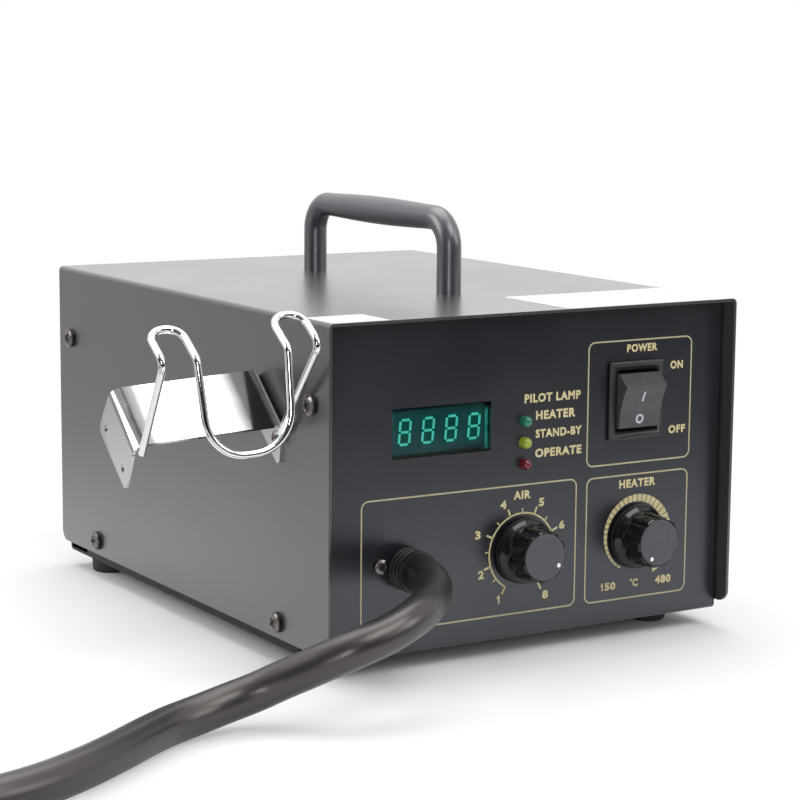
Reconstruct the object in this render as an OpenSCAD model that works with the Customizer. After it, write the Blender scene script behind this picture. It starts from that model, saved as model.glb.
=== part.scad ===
// Hot air rework station: a desktop air supply with its control panel, side holder, hose and handpiece.
// The origin is on the bench under the middle of the cover. The front panel faces -Y and +Z is up.

/* [Enclosure] */
// Width over the cover
body_w = 187; // [182:1:205]
// Depth of the cover, front to back
body_d = 245; // [240:1:270]
// Height of the cover's top above the underside of the chassis
body_h = 128; // [126:1:150]
// Thickness of the sheet steel
sheet = 1.2; // [0.8:0.1:1.6]
// How far the front panel sits behind the cover's front edge
front_recess = 7; // [4:0.5:9]
// How far the rear panel sits inside the cover's rear edge
rear_recess = 6; // [4:0.5:9]
// Height of the cover's lower edge above the underside of the chassis
cover_lift = 3.7; // [2:0.1:5]
// Radius of the rounded lower corners of the cover's walls
wall_corner_r = 5; // [2:0.5:8]
// Outer radius of the bends in the sheet
bend_r = 2; // [1.8:0.1:3]
// Clearance between the cover and the chassis
cover_gap = 0.3; // [0.2:0.1:0.5]

/* [Feet and cover screws] */
// Height of the rubber feet
foot_h = 7; // [5:0.5:12]
// Diameter of the rubber feet
foot_d = 16; // [14:1:20]
// Distance of a front foot's centre from the cover's side
front_foot_x = 18.5; // [13.5:1:33.5]
// Distance of a rear foot's centre from the cover's side
rear_foot_x = 11.5; // [11.5:1:33.5]
// Distance of the front feet from the cover's front edge
front_foot_inset = 30; // [24:1:40]
// Distance of the rear feet from the cover's rear edge
rear_foot_inset = 26; // [22:1:40]
// Diameter of the cover screws' heads
cover_head_d = 8; // [6.5:0.5:9]
// Thread diameter of the cover screws
cover_screw_d = 4; // [3:0.5:4]
// Distance of the upper cover screws from the cover's front and rear edges
high_screw_inset = 13; // [12:0.5:14]
// Height of the upper cover screws above the underside of the chassis
high_screw_z = 97; // [60:1:105]
// Distance of the lower cover screws from the cover's front and rear edges
low_screw_inset = 39; // [30:1:60]
// Height of the lower cover screws above the underside of the chassis
low_screw_z = 10; // [9:0.5:11]

/* [Carry handle] */
// Distance between the handle's two posts
handle_span = 110; // [90:1:130]
// Height of the handle bar's axis above the cover
handle_rise = 30; // [26:1:45]
// Diameter of the handle's bar
handle_d = 10; // [9:0.5:12]
// Diameter of the swelling in the middle of the grip
handle_grip_d = 11.6; // [10.5:0.1:14]
// Bend radius of the bar's axis
handle_bend_r = 12; // [9:0.5:16]

/* [Display and lamps] */
// Width of the display window
window_w = 43.8; // [40:0.2:46]
// Height of the display window
window_h = 19; // [17:0.2:22]
// Distance of the window's centre from the middle of the panel
window_x = 40.8; // [38:0.2:44]
// Height of the window's centre above the underside of the chassis
window_z = 84.3; // [80:0.1:88]
// Distance of the lamps from the middle of the panel
lamp_x = 3.6; // [3:0.2:8]
// Diameter of a lamp
lamp_d = 4.5; // [4:0.5:5]
// Distance between two lamps
lamp_pitch = 8.3; // [7.5:0.1:9]
// Height of the middle lamp above the underside of the chassis
lamp_z = 76.6; // [74:0.1:80]
// Distance from the panel's back to the display board
board_setback = 10.8; // [10:0.2:14]

/* [Rocker switch] */
// Distance of the switch's centre from the middle of the panel
switch_x = 48.8; // [45:0.2:55]
// Height of the switch's centre above the underside of the chassis
switch_z = 89.5; // [86:0.5:96]
// Width of the switch's bezel
bezel_w = 26; // [25.5:0.5:30]
// Height of the switch's bezel
bezel_h = 31; // [30.5:0.5:36]
// Width of the rocker
rocker_w = 19.6; // [16:0.2:20]
// Distance from the rocker's pivot to its ends
rocker_reach = 11.9; // [11:0.1:12.4]
// Angle between the rocker's two positions
rocker_swing = 32; // [24:1:32]

/* [Knobs] */
// Distance of the air knob from the middle of the panel
air_x = 3.7; // [2:0.1:8]
// Distance of the heater knob from the middle of the panel
heater_x = 50.8; // [44:0.1:56]
// Height of the knobs' axes above the underside of the chassis
knob_z = 34.5; // [30:0.5:40]
// Diameter of a knob's skirt at the panel
skirt_d = 26; // [24:0.5:30]
// Diameter of a knob's fluted barrel
barrel_d = 20.4; // [20:0.2:22]
// Distance from the panel to a knob's front face
knob_h = 16; // [15:0.5:20]
// Number of flutes round a knob
flutes = 10; // [8:1:14]
// Diameter of the potentiometers' shafts
shaft_d = 6; // [5:0.5:6]

/* [Hose outlet] */
// Distance of the hose outlet from the middle of the panel
outlet_x = 56; // [50:0.5:60]
// Height of the hose outlet above the underside of the chassis
outlet_z = 33; // [28:0.5:38]
// Diameter of the hose
hose_d = 13.8; // [12:0.2:14]
// Diameter of the gland's ribbed collar
gland_d = 16.6; // [15.5:0.2:18]
// Length of the gland's collar in front of the panel
gland_l = 9; // [7:0.5:9]

/* [Side holder] */
// How far the holder stands out from the cover
holder_l = 61.2; // [56:0.2:70]
// Width of the holder's plate along its slope
holder_w = 27.6; // [26:0.2:28]
// Slope of the holder's plate
holder_slope = 41; // [30:1:50]
// How far the plate droops towards its free end, in degrees
holder_droop = 4.6; // [0:0.1:6]
// Depth of the holder's free flange
flange_h = 22.6; // [18:0.2:24]
// Depth of the flange on the cover's wall
wall_flange_h = 16.5; // [14:0.5:20]
// Outer radius of the folds between the plate and its flanges
fold_r = 4.5; // [3:0.5:5]
// Distance of the plate's rear edge from the cover's front edge
holder_y = 51.5; // [48:0.5:120]
// Height of the plate's rear edge above the underside of the chassis
holder_z = 105.5; // [80:0.5:108]
// Diameter of the cradle's wire
wire_d = 2.8; // [2.5:0.1:3]
// Height of the wire's knees above the plate
knee_h = 47.9; // [40:0.1:50]

/* [Handpiece] */
// Distance of the handpiece's axis from the middle of the station
grip_x = 402; // [402:1:403]
// Where the grip begins, measured backwards from the middle of the station
grip_y = -15; // [-15:1:-14]
// Length of the grip
grip_l = 115; // [105:1:130]
// Radius of the grip's two collars, which it lies on
collar_r = 17; // [16.9:0.1:17.1]
// Wall thickness of the grip's shells
grip_wall = 2.4; // [2:0.1:3]
// Diameter of the heater pipe
pipe_d = 22; // [20:0.5:22]
// How far the heater pipe stands out of the grip
pipe_l = 72; // [60:1:90]
// Diameter of the nozzle's outlet
outlet_d = 9; // [6:0.5:12]
// Sliding clearance of the nozzle on the pipe, on the radius
nozzle_fit = 0.06; // [0.04:0.01:0.1]

/* [Air pump] */
// Distance of the pump's centre from the cover's left side
pump_x = 62.5; // [61.5:0.5:69.5]
// Distance of the pump's centre from the cover's rear edge
pump_y = 94.5; // [86.5:1:102.5]
// Width of the pump's base plate
pump_w = 112; // [110:1:116]
// Depth of the pump's base plate
pump_d = 84; // [80:1:90]
// Height of the pump's rubber mounts
mount_h = 9; // [7:0.5:12]
// Outer diameter of the silicone air tube
tube_d = 8; // [7.5:0.1:8.4]

/* [Power supply] */
// Distance of the transformer's centre from the cover's right side
transformer_x = 33.5; // [33:0.5:37.5]
// Distance of the transformer's centre from the cover's rear edge
transformer_y = 39.5; // [36:0.5:48]
// Width of the main board
board_w = 56; // [50:1:60]
// Distance of the main board's right edge from the cover's right side
board_side = 10.5; // [9.5:0.5:12]
// Depth of the main board
board_d = 92; // [84:1:96]
// Height of the main board's standoffs
standoff_h = 8; // [6:0.5:12]

/* [Hidden] */
$fn = 64;

// Main planes
top_z = foot_h + body_h;
front_y = -body_d / 2;
panel_y = front_y + front_recess;
back_y = body_d / 2 - rear_recess;
cover_z = foot_h + cover_lift;
floor_z = foot_h + sheet;
tray_w = body_w - 2 * (sheet + cover_gap);
tray_top = top_z - sheet - cover_gap;
inner_w = body_w - 2 * sheet;
lip_z = foot_h + 17;
return_d = 15;
bead_r = bend_r - sheet + 0.2;
close_fit = 0.05;
bend_thinning = 0.02;
clear = 0.3;

// Places of the cover screws, as (y, z)
screw_places = [
    for (side = [-1, 1]) [side * (body_d / 2 - high_screw_inset), foot_h + high_screw_z],
    for (side = [-1, 1]) [side * (body_d / 2 - low_screw_inset), foot_h + low_screw_z]
];
foot_places = [
    for (side = [-1, 1]) [side * (body_w / 2 - front_foot_x), front_y + front_foot_inset],
    for (side = [-1, 1]) [side * (body_w / 2 - rear_foot_x), body_d / 2 - rear_foot_inset]
];
foot_screw_d = 3;
handle_screw_d = 5;
// Holes of the holder: distances down its slope and depth below the plate, on the wall and free flange
holder_holes = [8, 26.9];
holder_hole_n = -8.4;
free_holes = [5.2, 24.2];
free_hole_n = -17;
holder_screw_d = 3;

// Switch, as distances from the panel's outer face
bezel_t = 2;
pivot_in = 1.5;
pocket_w = rocker_w + 0.4;
pocket_h = 2 * (rocker_reach + 0.4);
switch_body_w = pocket_w + 2.4;
switch_body_h = pocket_h + 3.4;
switch_depth = pivot_in + rocker_reach + 3;
trunnion_r = 1.5;

// Knobs and potentiometers, as distances from the panel's outer face
knob_foot = 0.6;
shaft_end = knob_h - 3;
bushing_r = shaft_d / 2 + 0.5;
bushing_l = 5;
pot_r = 8.5;
pot_depth = 9;
cap_t = 1.4;

// Hose route, chosen by hand: out of the gland, round to the left and down to the bench
hose_r = hose_d / 2;
hose_route = [
    [-56, -124.5, 40], [-56, -126, 40], [-57, -132, 40], [-60, -141, 39], [-66, -150, 38], [-75, -160, 37],
    [-86, -167, 35], [-97, -170, 32], [-108, -170, 29], [-117, -166, 25], [-124, -161, 21],
    [-131, -156, 17], [-139, -152, 13], [-149, -150, 10], [-160, -151, 8], [-173, -155, 7],
    [-186, -163, 7], [-202, -174, 7], [-220, -185, 7], [-240, -194, 7], [-262, -199, 7],
    [-282, -200, 7], [-300, -200, 7]
];
tail_route = [[-402, -97, 24], [-402, -80, 22], [-402, -61, 18.5], [-402, -45, 17], [-402, -37, 17]];
hose_sides = 10;
// The coil: one and a quarter turns, each turn on top of the last
coil_centre = [-320, -118];
coil_r = 82;
coil_turns = 1.25;
coil_top = 7 + hose_d * coil_turns + hose_r + 0.2;

// Handpiece, along its own axis from the rear end of the grip
boot_l = 22;
pipe_r = pipe_d / 2;
pipe_wall = 0.7;
pipe_root = 12;
nozzle_l = 14;
nozzle_start = grip_l + pipe_l - nozzle_l;

// Pump
pump_z = floor_z + mount_h;
pump_cx = pump_x - body_w / 2;
pump_cy = body_d / 2 - pump_y;
pump_base_t = 2;
arm_x = 22;
arm_t = 3;
arm_z = pump_z + pump_base_t + 20;
arm_pivot_y = -32;
arm_l = 60;
head_r = 18;
head_face = 31;
head_l = 15;
manifold_z = arm_z + head_r + 6;
nipple_y = pump_cy - pump_d / 2 - 4;
// The core's middle behind the pump's middle, and its pole plates beside the arms' magnets
core_y = 21;
core_d = 12;
pole_x = 15;
pole_t = 3.5;
tube_bore = tube_d - 3;

function unit(v) = v / norm(v);
function arc(c, r, from, to, n = 8) =
    [for (i = [0 : n]) let (a = from + (to - from) * i / n) c + r * [cos(a), sin(a)]];
// The corner at p between its neighbours a and b, rounded with radius r
function corner(a, p, b, r, n = 6) = r == 0 ? [p] : let (
    u = unit(a - p), v = unit(b - p), half = acos(u * v) / 2,
    c = p + unit(u + v) * r / sin(half),
    s = p + u * r / tan(half) - c, e = p + v * r / tan(half) - c,
    start = atan2(s[1], s[0]), swing = atan2(e[1], e[0]) - start,
    step = swing > 180 ? swing - 360 : swing < -180 ? swing + 360 : swing
) arc(c, r, start, start + step, n);
function rounded(points, radii) = let (n = len(points))
    [for (i = [0 : n - 1]) each corner(points[(i + n - 1) % n], points[i], points[(i + 1) % n], radii[i])];
function columns(x, y, z, o) = [
    [x[0], y[0], z[0], o[0]],
    [x[1], y[1], z[1], o[1]],
    [x[2], y[2], z[2], o[2]],
    [0, 0, 0, 1]
];
function across(d) = unit(cross(abs(d[2]) < 0.9 ? [0, 0, 1] : [1, 0, 0], d));
function turn(p, i) = acos(unit(p[i] - p[i - 1]) * unit(p[i + 1] - p[i]));
function setback(p, radii, i) = i == 0 || i == len(p) - 1 ? 0 : radii[i] * tan(turn(p, i) / 2);

// A round bar from a to b
module bar(a, b, r) {
    d = unit(b - a);
    multmatrix(columns(across(d), cross(d, across(d)), d, a)) cylinder(h = norm(b - a), r = r);
}

// The round bend between two bars that would meet at the corner. A bent rod thins a little, so
// the bend is drawn a hair thinner and runs a hair into the ends of both bars.
module bend(before, corner, after, bend_r, r) {
    d1 = unit(corner - before);
    d2 = unit(after - corner);
    angle = acos(d1 * d2);
    inward = unit(d2 - (d2 * d1) * d1);
    start = corner - d1 * bend_r * tan(angle / 2);
    seat = 3 / bend_r;
    multmatrix(columns(-inward, d1, cross(-inward, d1), start + inward * bend_r))
        rotate(-seat) rotate_extrude(angle = angle + 2 * seat) translate([bend_r, 0]) circle(r - bend_thinning);
}

// A bar bent along the corners p, with one bend radius for each corner
module bent_bar(p, radii, r) {
    for (i = [0 : len(p) - 2]) {
        d = unit(p[i + 1] - p[i]);
        bar(p[i] + d * setback(p, radii, i), p[i + 1] - d * setback(p, radii, i + 1), r);
    }
    for (i = [1 : len(p) - 2]) bend(p[i - 1], p[i], p[i + 1], radii[i], r);
}

// A soft tube swept along its route, with one ring at each point
module swept_tube(route, r, sides) {
    last = len(route) - 1;
    rings = [for (i = [0 : last]) let (
        d = unit(route[min(i + 1, last)] - route[max(i - 1, 0)]),
        u = across(d),
        v = cross(d, u)
    ) [for (k = [0 : sides - 1]) route[i] + r * (cos(360 * k / sides) * u + sin(360 * k / sides) * v)]];
    points = [for (ring = rings) for (p = ring) p];
    walls = [for (i = [0 : last - 1]) for (k = [0 : sides - 1]) let (
        a = i * sides + k,
        b = i * sides + (k + 1) % sides
    ) [a, a + sides, b + sides, b]];
    polyhedron(points, concat(
        [[for (k = [0 : sides - 1]) k]],
        walls,
        [[for (k = [sides - 1 : -1 : 0]) last * sides + k]]
    ), convexity = 6);
}

// A rectangle with two rounded corners at its top, standing on the X axis
module arch(w, h, r) {
    translate([-w / 2, 0]) square([w, h - r]);
    translate([r - w / 2, 0]) square([w - 2 * r, h]);
    for (side = [-1, 1]) translate([side * (w / 2 - r), h - r]) circle(r);
}

module rounded_rect(w, h, r) {
    square([w - 2 * r, h], center = true);
    square([w, h - 2 * r], center = true);
    for (x = [-1, 1], y = [-1, 1]) translate([x * (w / 2 - r), y * (h / 2 - r)]) circle(r);
}

module rounded_block(w, h, depth, r) {
    linear_extrude(depth) rounded_rect(w, h, r);
}

// Children drawn in the YZ plane, extruded along X about the middle
module along_x(length) {
    rotate([90, 0, 90]) linear_extrude(length, center = true) children();
}

// Children placed on the front panel's outer face, with their own +Z pointing out of the panel
module on_front(x, z) {
    translate([x, panel_y, foot_h + z]) rotate([90, 0, 0]) children();
}

module on_back(x, z) {
    translate([x, back_y, foot_h + z]) rotate([90, 0, 180]) children();
}

// Children placed on one side wall, with their own +Z pointing out of the cover
module on_side(side, y, z) {
    translate([side * body_w / 2, y, z]) rotate([0, side * 90, 0]) children();
}

// A pan head screw, head up from the origin and thread down
module pan_screw(head_d, head_h, thread_d, length) {
    rotate_extrude() difference() {
        intersection() {
            translate([0, head_h - head_d]) circle(head_d);
            square([head_d / 2, head_h]);
        }
        translate([0, head_h - 0.9]) polygon([[0, 0], [0, 2], [0.24 * head_d, 2], [0.24 * head_d, 0.5]]);
    }
    translate([0, 0, -length]) cylinder(h = length, d = thread_d);
}

module hex_nut(thread_r, rim, height) {
    difference() {
        cylinder(h = height, r = thread_r + rim, $fn = 6);
        translate([0, 0, -1]) cylinder(h = height + 2, r = thread_r + close_fit);
    }
}

// A row of rounded slots in a panel
module slots(count, pitch, length, width, depth) {
    for (i = [0 : count - 1]) translate([(i - (count - 1) / 2) * pitch, 0, -depth / 2])
        rounded_block(width, length, depth, width / 2 - 0.01);
}

module chassis_section() {
    mid = (panel_y + back_y) / 2;
    depth = back_y - panel_y;
    translate([mid, tray_top]) mirror([0, 1]) difference() {
        arch(depth, tray_top - foot_h, bend_r);
        translate([0, -1]) arch(depth - 2 * sheet, tray_top - foot_h - sheet + 1, bead_r);
    }
}

module chassis_lips() {
    for (side = [-1, 1]) translate([side * (tray_w - sheet) / 2, 0, 0]) {
        translate([0, (panel_y + back_y) / 2, (foot_h + lip_z) / 2 + 0.5])
            cube([sheet, back_y - panel_y - 2 * return_d - 6, lip_z - foot_h - 1], center = true);
        for (end = [0, 1]) translate([-sheet / 2, end ? back_y - return_d : panel_y, lip_z + 4])
            cube([sheet, return_d, tray_top - lip_z - 14]);
    }
    for (end = [0, 1]) translate([-tray_w / 2 + 14, end ? back_y - return_d : panel_y, tray_top - sheet])
        cube([tray_w - 28, return_d, sheet]);
}

module panel_holes() {
    on_front(-window_x, window_z) translate([0, 0, -9]) linear_extrude(18)
        square([window_w, window_h], center = true);
    for (i = [-1 : 1]) on_front(-lamp_x, lamp_z + i * lamp_pitch)
        translate([0, 0, -9]) cylinder(h = 18, d = lamp_d + 2 * close_fit);
    on_front(switch_x, switch_z) translate([0, 0, -9]) linear_extrude(18)
        square([switch_body_w + 0.4, switch_body_h + 0.4], center = true);
    for (x = [-air_x, heater_x]) on_front(x, knob_z)
        translate([0, 0, -9]) cylinder(h = 18, r = bushing_r + close_fit);
    on_front(-outlet_x, outlet_z) translate([0, 0, -9]) cylinder(h = 18, d = gland_d - 2 + 2 * close_fit);
    on_front(-outlet_x - 11.5, outlet_z + 2) translate([0, 0, -9]) cylinder(h = 18, d = 3 + 2 * close_fit);
}

module back_holes() {
    on_back(-45, 38) translate([0, 0, -9]) linear_extrude(18) square([27.8, 20.8], center = true);
    on_back(-45, 78) translate([0, 0, -9]) cylinder(h = 18, d = 12.2);
    for (row = [0 : 1]) on_back(42, 46 + row * 34) slots(9, 7, 26, 3, 18);
}

module chassis_tray() {
    color("#26272b") difference() {
        union() {
            along_x(tray_w) chassis_section();
            chassis_lips();
        }
        panel_holes();
        back_holes();
        for (p = foot_places) translate([p[0], p[1], foot_h - 1])
            cylinder(h = 4, d = foot_screw_d + 2 * close_fit);
        for (p = screw_places) translate([0, p[0], p[1]]) rotate([0, 90, 0])
            cylinder(h = body_w, d = cover_screw_d + 2 * close_fit, center = true);
        for (row = [0 : 1]) translate([pump_cx, pump_cy - 20 + row * 34, foot_h]) slots(9, 7, 24, 3, 6);
        for (p = mount_places()) translate([p[0], p[1], foot_h - 1]) cylinder(h = 4, r = 2 + close_fit);
    }
}

module cover() {
    height = top_z - cover_z;
    color("#58585b") difference() {
        intersection() {
            translate([0, body_d / 2, cover_z]) rotate([90, 0, 0]) linear_extrude(body_d) difference() {
                arch(body_w, height, bend_r);
                translate([0, -1]) arch(inner_w, height - sheet + 1, bead_r);
            }
            along_x(body_w + 2) translate([0, top_z + 1]) mirror([0, 1]) arch(body_d, height + 1, wall_corner_r);
        }
        for (p = screw_places) translate([0, p[0], p[1]]) rotate([0, 90, 0])
            cylinder(h = body_w + 2, d = cover_screw_d + 2 * close_fit, center = true);
        for (end = [-1, 1]) translate([0, end * handle_span / 2, top_z - 3])
            cylinder(h = 6, d = handle_screw_d + 2 * close_fit);
        in_holder(0) for (t = holder_holes) translate([0, -t, holder_hole_n]) rotate([0, 90, 0])
            cylinder(h = 8, d = holder_screw_d + 2 * close_fit, center = true);
    }
}

module cover_screws() {
    color("#b9babc") for (side = [-1, 1], p = screw_places)
        on_side(side, p[0], p[1]) pan_screw(cover_head_d, 2.7, cover_screw_d, 8);
}

module rubber_feet() {
    color("#161617") for (p = foot_places) translate([p[0], p[1], 0]) difference() {
        rotate_extrude() difference() {
            polygon([[0, 0], [foot_d / 2 - 1.2, 0], [foot_d / 2 - 0.4, 0.8], [foot_d / 2, foot_h], [0, foot_h]]);
            square([3.4, 3]);
        }
        cylinder(h = foot_h + 1, d = foot_screw_d + 2 * close_fit);
    }
}

// The screws up through the feet, and those from below into the handle's posts
module case_screws() {
    color("#a9aaac") {
        for (p = foot_places) translate([p[0], p[1], 3]) mirror([0, 0, 1])
            pan_screw(6, 2, foot_screw_d, foot_h - 3 + sheet);
        for (end = [-1, 1]) translate([0, end * handle_span / 2, top_z - sheet])
            mirror([0, 0, 1]) pan_screw(9, 3, handle_screw_d, 11);
    }
}

// The bar and its swollen grip
module carry_handle() {
    half = handle_span / 2;
    axis_z = top_z + handle_rise;
    corners = [[0, -half, top_z], [0, -half, axis_z], [0, half, axis_z], [0, half, top_z]];
    grip_half = half - handle_bend_r - 4;
    grip_rise = (handle_grip_d - handle_d) / 2;
    color("#2b2e34") difference() {
        union() {
            bent_bar(corners, [0, handle_bend_r, handle_bend_r, 0], handle_d / 2);
            translate([0, 0, axis_z]) rotate([90, 0, 0]) rotate_extrude() polygon(concat(
                [[0, -grip_half]],
                [for (i = [0 : 10]) [handle_d / 2 + grip_rise * sin(i * 18), grip_half * (i / 5 - 1)]],
                [[0, grip_half]]
            ));
        }
        for (end = [-1, 1]) translate([0, end * half, top_z - 1])
            cylinder(h = 13, d = handle_screw_d + 2 * close_fit);
    }
}

// Children in the holder's own frame: +X into the cover, -Y down the slope, +Z out of the plate
module in_holder(droop) {
    translate([-body_w / 2, front_y + holder_y, foot_h + holder_z])
        rotate([holder_slope, 0, 0]) rotate([0, -droop, 0]) children();
}

// Side view of the bracket before it is trimmed: wall flange, fold, drooping plate, fold, free flange
module holder_profile() {
    d = holder_droop;
    along = [-cos(d), -sin(d)];
    down = [sin(d), -cos(d)];
    wall_c = [-fold_r, -fold_r * (1 + sin(d)) / cos(d)];
    free_c = along * (holder_l - fold_r) + down * fold_r;
    low = flange_h + 3;
    polygon(concat(
        [[0, -wall_flange_h - 3]], arc(wall_c, fold_r, 0, 90 + d), arc(free_c, fold_r, 90 + d, 180 + d),
        [along * holder_l + down * low, along * (holder_l - sheet) + down * low],
        arc(free_c, fold_r - sheet, 180 + d, 90 + d), arc(wall_c, fold_r - sheet, 90 + d, 0),
        [[-sheet, -wall_flange_h - 3]]
    ));
}

// What is cut away round a flange, which widens forwards below its fold
module flange_trim(h, spread) {
    neck = -holder_w - 0.3;
    rotate([90, 0, 90]) linear_extrude(6) difference() {
        translate([-60, -45]) square([70, 47]);
        polygon(rounded(
            [[0.02, 3], [0.02, -h], [-holder_w - spread, -h], [neck, -fold_r - 1], [neck, 3]],
            [0, 4, 1.8, 0, 0]
        ));
    }
}

module holder_bracket() {
    hole_d = holder_screw_d + 2 * close_fit;
    color("#d7d9dc") in_holder(0) difference() {
        rotate([90, 0, 0]) linear_extrude(holder_w + 8) holder_profile();
        translate([-4, 0, 0]) flange_trim(wall_flange_h, 7.6);
        for (t = holder_holes) translate([0, -t, holder_hole_n]) rotate([0, 90, 0])
            cylinder(h = 8, d = hole_d, center = true);
        rotate([0, -holder_droop, 0]) {
            translate([-holder_l - 4, -holder_w - 20, -fold_r - 1.1]) cube([holder_l + 8, 20, fold_r + 5]);
            translate([-holder_l - 2, 0, 0]) flange_trim(flange_h, 2.7);
            for (t = free_holes) translate([-holder_l, -t, free_hole_n]) rotate([0, 90, 0])
                cylinder(h = 8, d = hole_d, center = true);
        }
    }
}

// Corners of the cradle's wire in the holder's drooping frame, as distance out, down the slope and up
module holder_wire() {
    front = holder_w + wire_d / 2 + 0.1;
    weld_out = holder_l - sheet - wire_d / 2 - 0.3;
    weld_in = sheet + wire_d / 2 + 0.4;
    mid = (holder_l + 2) / 2;
    leg = mid - 1.7;
    inner = leg - 12.4;
    outline = [
        [weld_out, front, -3], [mid + leg, front + 1.2, knee_h],
        [mid + leg, 13.3, knee_h - 2.1], [mid + inner, 13.3, knee_h - 2.1],
        [mid + inner, front + 1.2, knee_h], [mid + inner - 1.5, front + 26.9, knee_h - 24.8],
        [mid - inner + 1.5, front + 26.9, knee_h - 24.8], [mid - inner, front + 1.2, knee_h],
        [mid - inner, 13.3, knee_h - 2.1], [mid - leg, 13.3, knee_h - 2.1],
        [mid - leg, front + 1.2, knee_h], [weld_in, front, -3]
    ];
    color("#d7d9dc") in_holder(holder_droop)
        bent_bar([for (p = outline) [-p[0], -p[1], p[2]]], [0, 4, 6, 6, 4, 15, 15, 4, 6, 6, 4, 0], wire_d / 2);
}

module holder_screws() {
    color("#b9babc") in_holder(0) for (t = holder_holes) translate([-sheet, -t, holder_hole_n])
        rotate([0, -90, 0]) pan_screw(5.4, 2, holder_screw_d, 8);
}

module display_window() {
    color("#0f4a44") on_front(-window_x, window_z) {
        translate([0, 0, -sheet]) rounded_block(window_w - 0.2, window_h - 0.2, sheet - 0.2, 0.6);
        translate([0, 0, -sheet - 1.5]) rounded_block(window_w + 5, window_h + 4, 1.5, 1);
    }
}

module digit_display() {
    front = sheet + 1.5 + clear;
    color("#1d2a28") on_front(-window_x, window_z) {
        translate([0, 0, -sheet - board_setback])
            rounded_block(window_w - 2.6, window_h - 2, sheet + board_setback - front, 0.6);
    }
}

// The display board spans the window and the lamps; its spacers stand above and below the window
spacer_rise = window_h / 2 + 6.5;
spacer_left = -window_x - window_w / 2;
spacer_right = -lamp_x + 7.6;
spacer_places = [for (x = [spacer_left, spacer_right], side = [-1, 1]) [x, window_z + side * spacer_rise]];

module board_outline() {
    translate([spacer_left - 4, window_z - spacer_rise - 4])
        square([spacer_right - spacer_left + 8, 2 * spacer_rise + 8]);
}

module display_board() {
    color("#1f6b3a") on_front(0, 0) translate([0, 0, -sheet - board_setback - 1.6]) linear_extrude(1.6)
        difference() {
            board_outline();
            for (p = spacer_places) translate(p) circle(1.6);
        }
}

module display_spacers() {
    color("#c9c9c4") for (p = spacer_places) on_front(p[0], p[1]) {
        translate([0, 0, -sheet - board_setback]) cylinder(h = board_setback, r = 2.6);
        translate([0, 0, -sheet - board_setback - 1.6]) cylinder(h = 1.6, r = 1.55);
        translate([0, 0, -sheet - board_setback - 3.4]) cylinder(h = 1.8, r = 2.8);
    }
}

// A domed lamp behind its hole in the panel, with its rim and two legs down to the board
module lamp(row) {
    on_front(-lamp_x, lamp_z + row * lamp_pitch) {
        translate([0, 0, -sheet]) cylinder(h = sheet + 1.6, d = lamp_d);
        intersection() {
            translate([0, 0, 1.6]) sphere(d = lamp_d);
            translate([0, 0, 1.6]) cylinder(h = lamp_d, d = lamp_d + 1);
        }
        translate([0, 0, -sheet - 5]) cylinder(h = 5, d = lamp_d + 0.8);
        for (side = [-1, 1]) translate([side * 1.27, 0, -sheet - board_setback])
            cylinder(h = board_setback - 5, r = 0.3);
    }
}

module green_lamp() { color("#1f7a5c") lamp(1); }
module yellow_lamp() { color("#a3a53c") lamp(0); }
module red_lamp() { color("#6e1420") lamp(-1); }

module switch_housing() {
    color("#2a2b2e") on_front(switch_x, switch_z) difference() {
        union() {
            difference() {
                rounded_block(bezel_w, bezel_h, bezel_t, 1);
                for (side = [-1, 1]) translate([side * bezel_w / 2, 0, bezel_t]) rotate([0, 45, 0])
                    cube([1, bezel_h + 2, 1], center = true);
                for (side = [-1, 1]) translate([0, side * bezel_h / 2, bezel_t]) rotate([45, 0, 0])
                    cube([bezel_w + 2, 1, 1], center = true);
            }
            translate([0, 0, -switch_depth]) rounded_block(switch_body_w, switch_body_h, switch_depth, 1);
            for (x = [-5, 5], y = [-7, 7]) translate([x - 0.4, y - 2.4, -switch_depth - 8]) cube([0.8, 4.8, 9]);
        }
        translate([0, 0, -switch_depth + 1.6]) linear_extrude(switch_depth + 8)
            square([pocket_w, pocket_h], center = true);
        translate([0, 0, -pivot_in]) rotate([0, 90, 0])
            cylinder(h = rocker_w + 2, r = trunnion_r + close_fit, center = true);
    }
}

// Side view of the rocker about its pivot, level between its two positions
module rocker_section() {
    difference() {
        polygon([
            for (side = [-1, 1]) each [
                [side * rocker_reach * 0.736, rocker_reach * 0.651],
                [side * rocker_reach * 0.985, rocker_reach * 0.11],
                [side * rocker_reach * 0.74, -rocker_reach * 0.6]
            ]
        ], [[0, 1, 2, 5, 4, 3]]);
        translate([0, rocker_reach * 0.651 + 31.4]) circle(r = 32.6, $fn = 180);
    }
}

module switch_rocker() {
    color("#46474b") on_front(switch_x, switch_z) translate([0, 0, -pivot_in]) {
        along_x(rocker_w) rotate(rocker_swing / 2) rocker_section();
        rotate([0, 90, 0]) cylinder(h = rocker_w + 1.8, r = trunnion_r, center = true);
    }
}

// One potentiometer: case against the panel's back, threaded bushing, three lugs
module pot(x) {
    on_front(x, knob_z) difference() {
        union() {
            translate([0, 0, -sheet - pot_depth]) cylinder(h = pot_depth, r = pot_r);
            translate([0, 0, -sheet]) cylinder(h = bushing_l + sheet, r = bushing_r);
            for (i = [-1 : 1]) translate([i * 5 - 1, -pot_r - 4, -sheet - 3]) cube([2, 6, 0.8]);
        }
        translate([0, 0, -sheet - 6]) cylinder(h = 30, r = shaft_d / 2 + close_fit);
    }
}

module potentiometers() {
    color("#8b8d90") for (x = [-air_x, heater_x]) pot(x);
}

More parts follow.
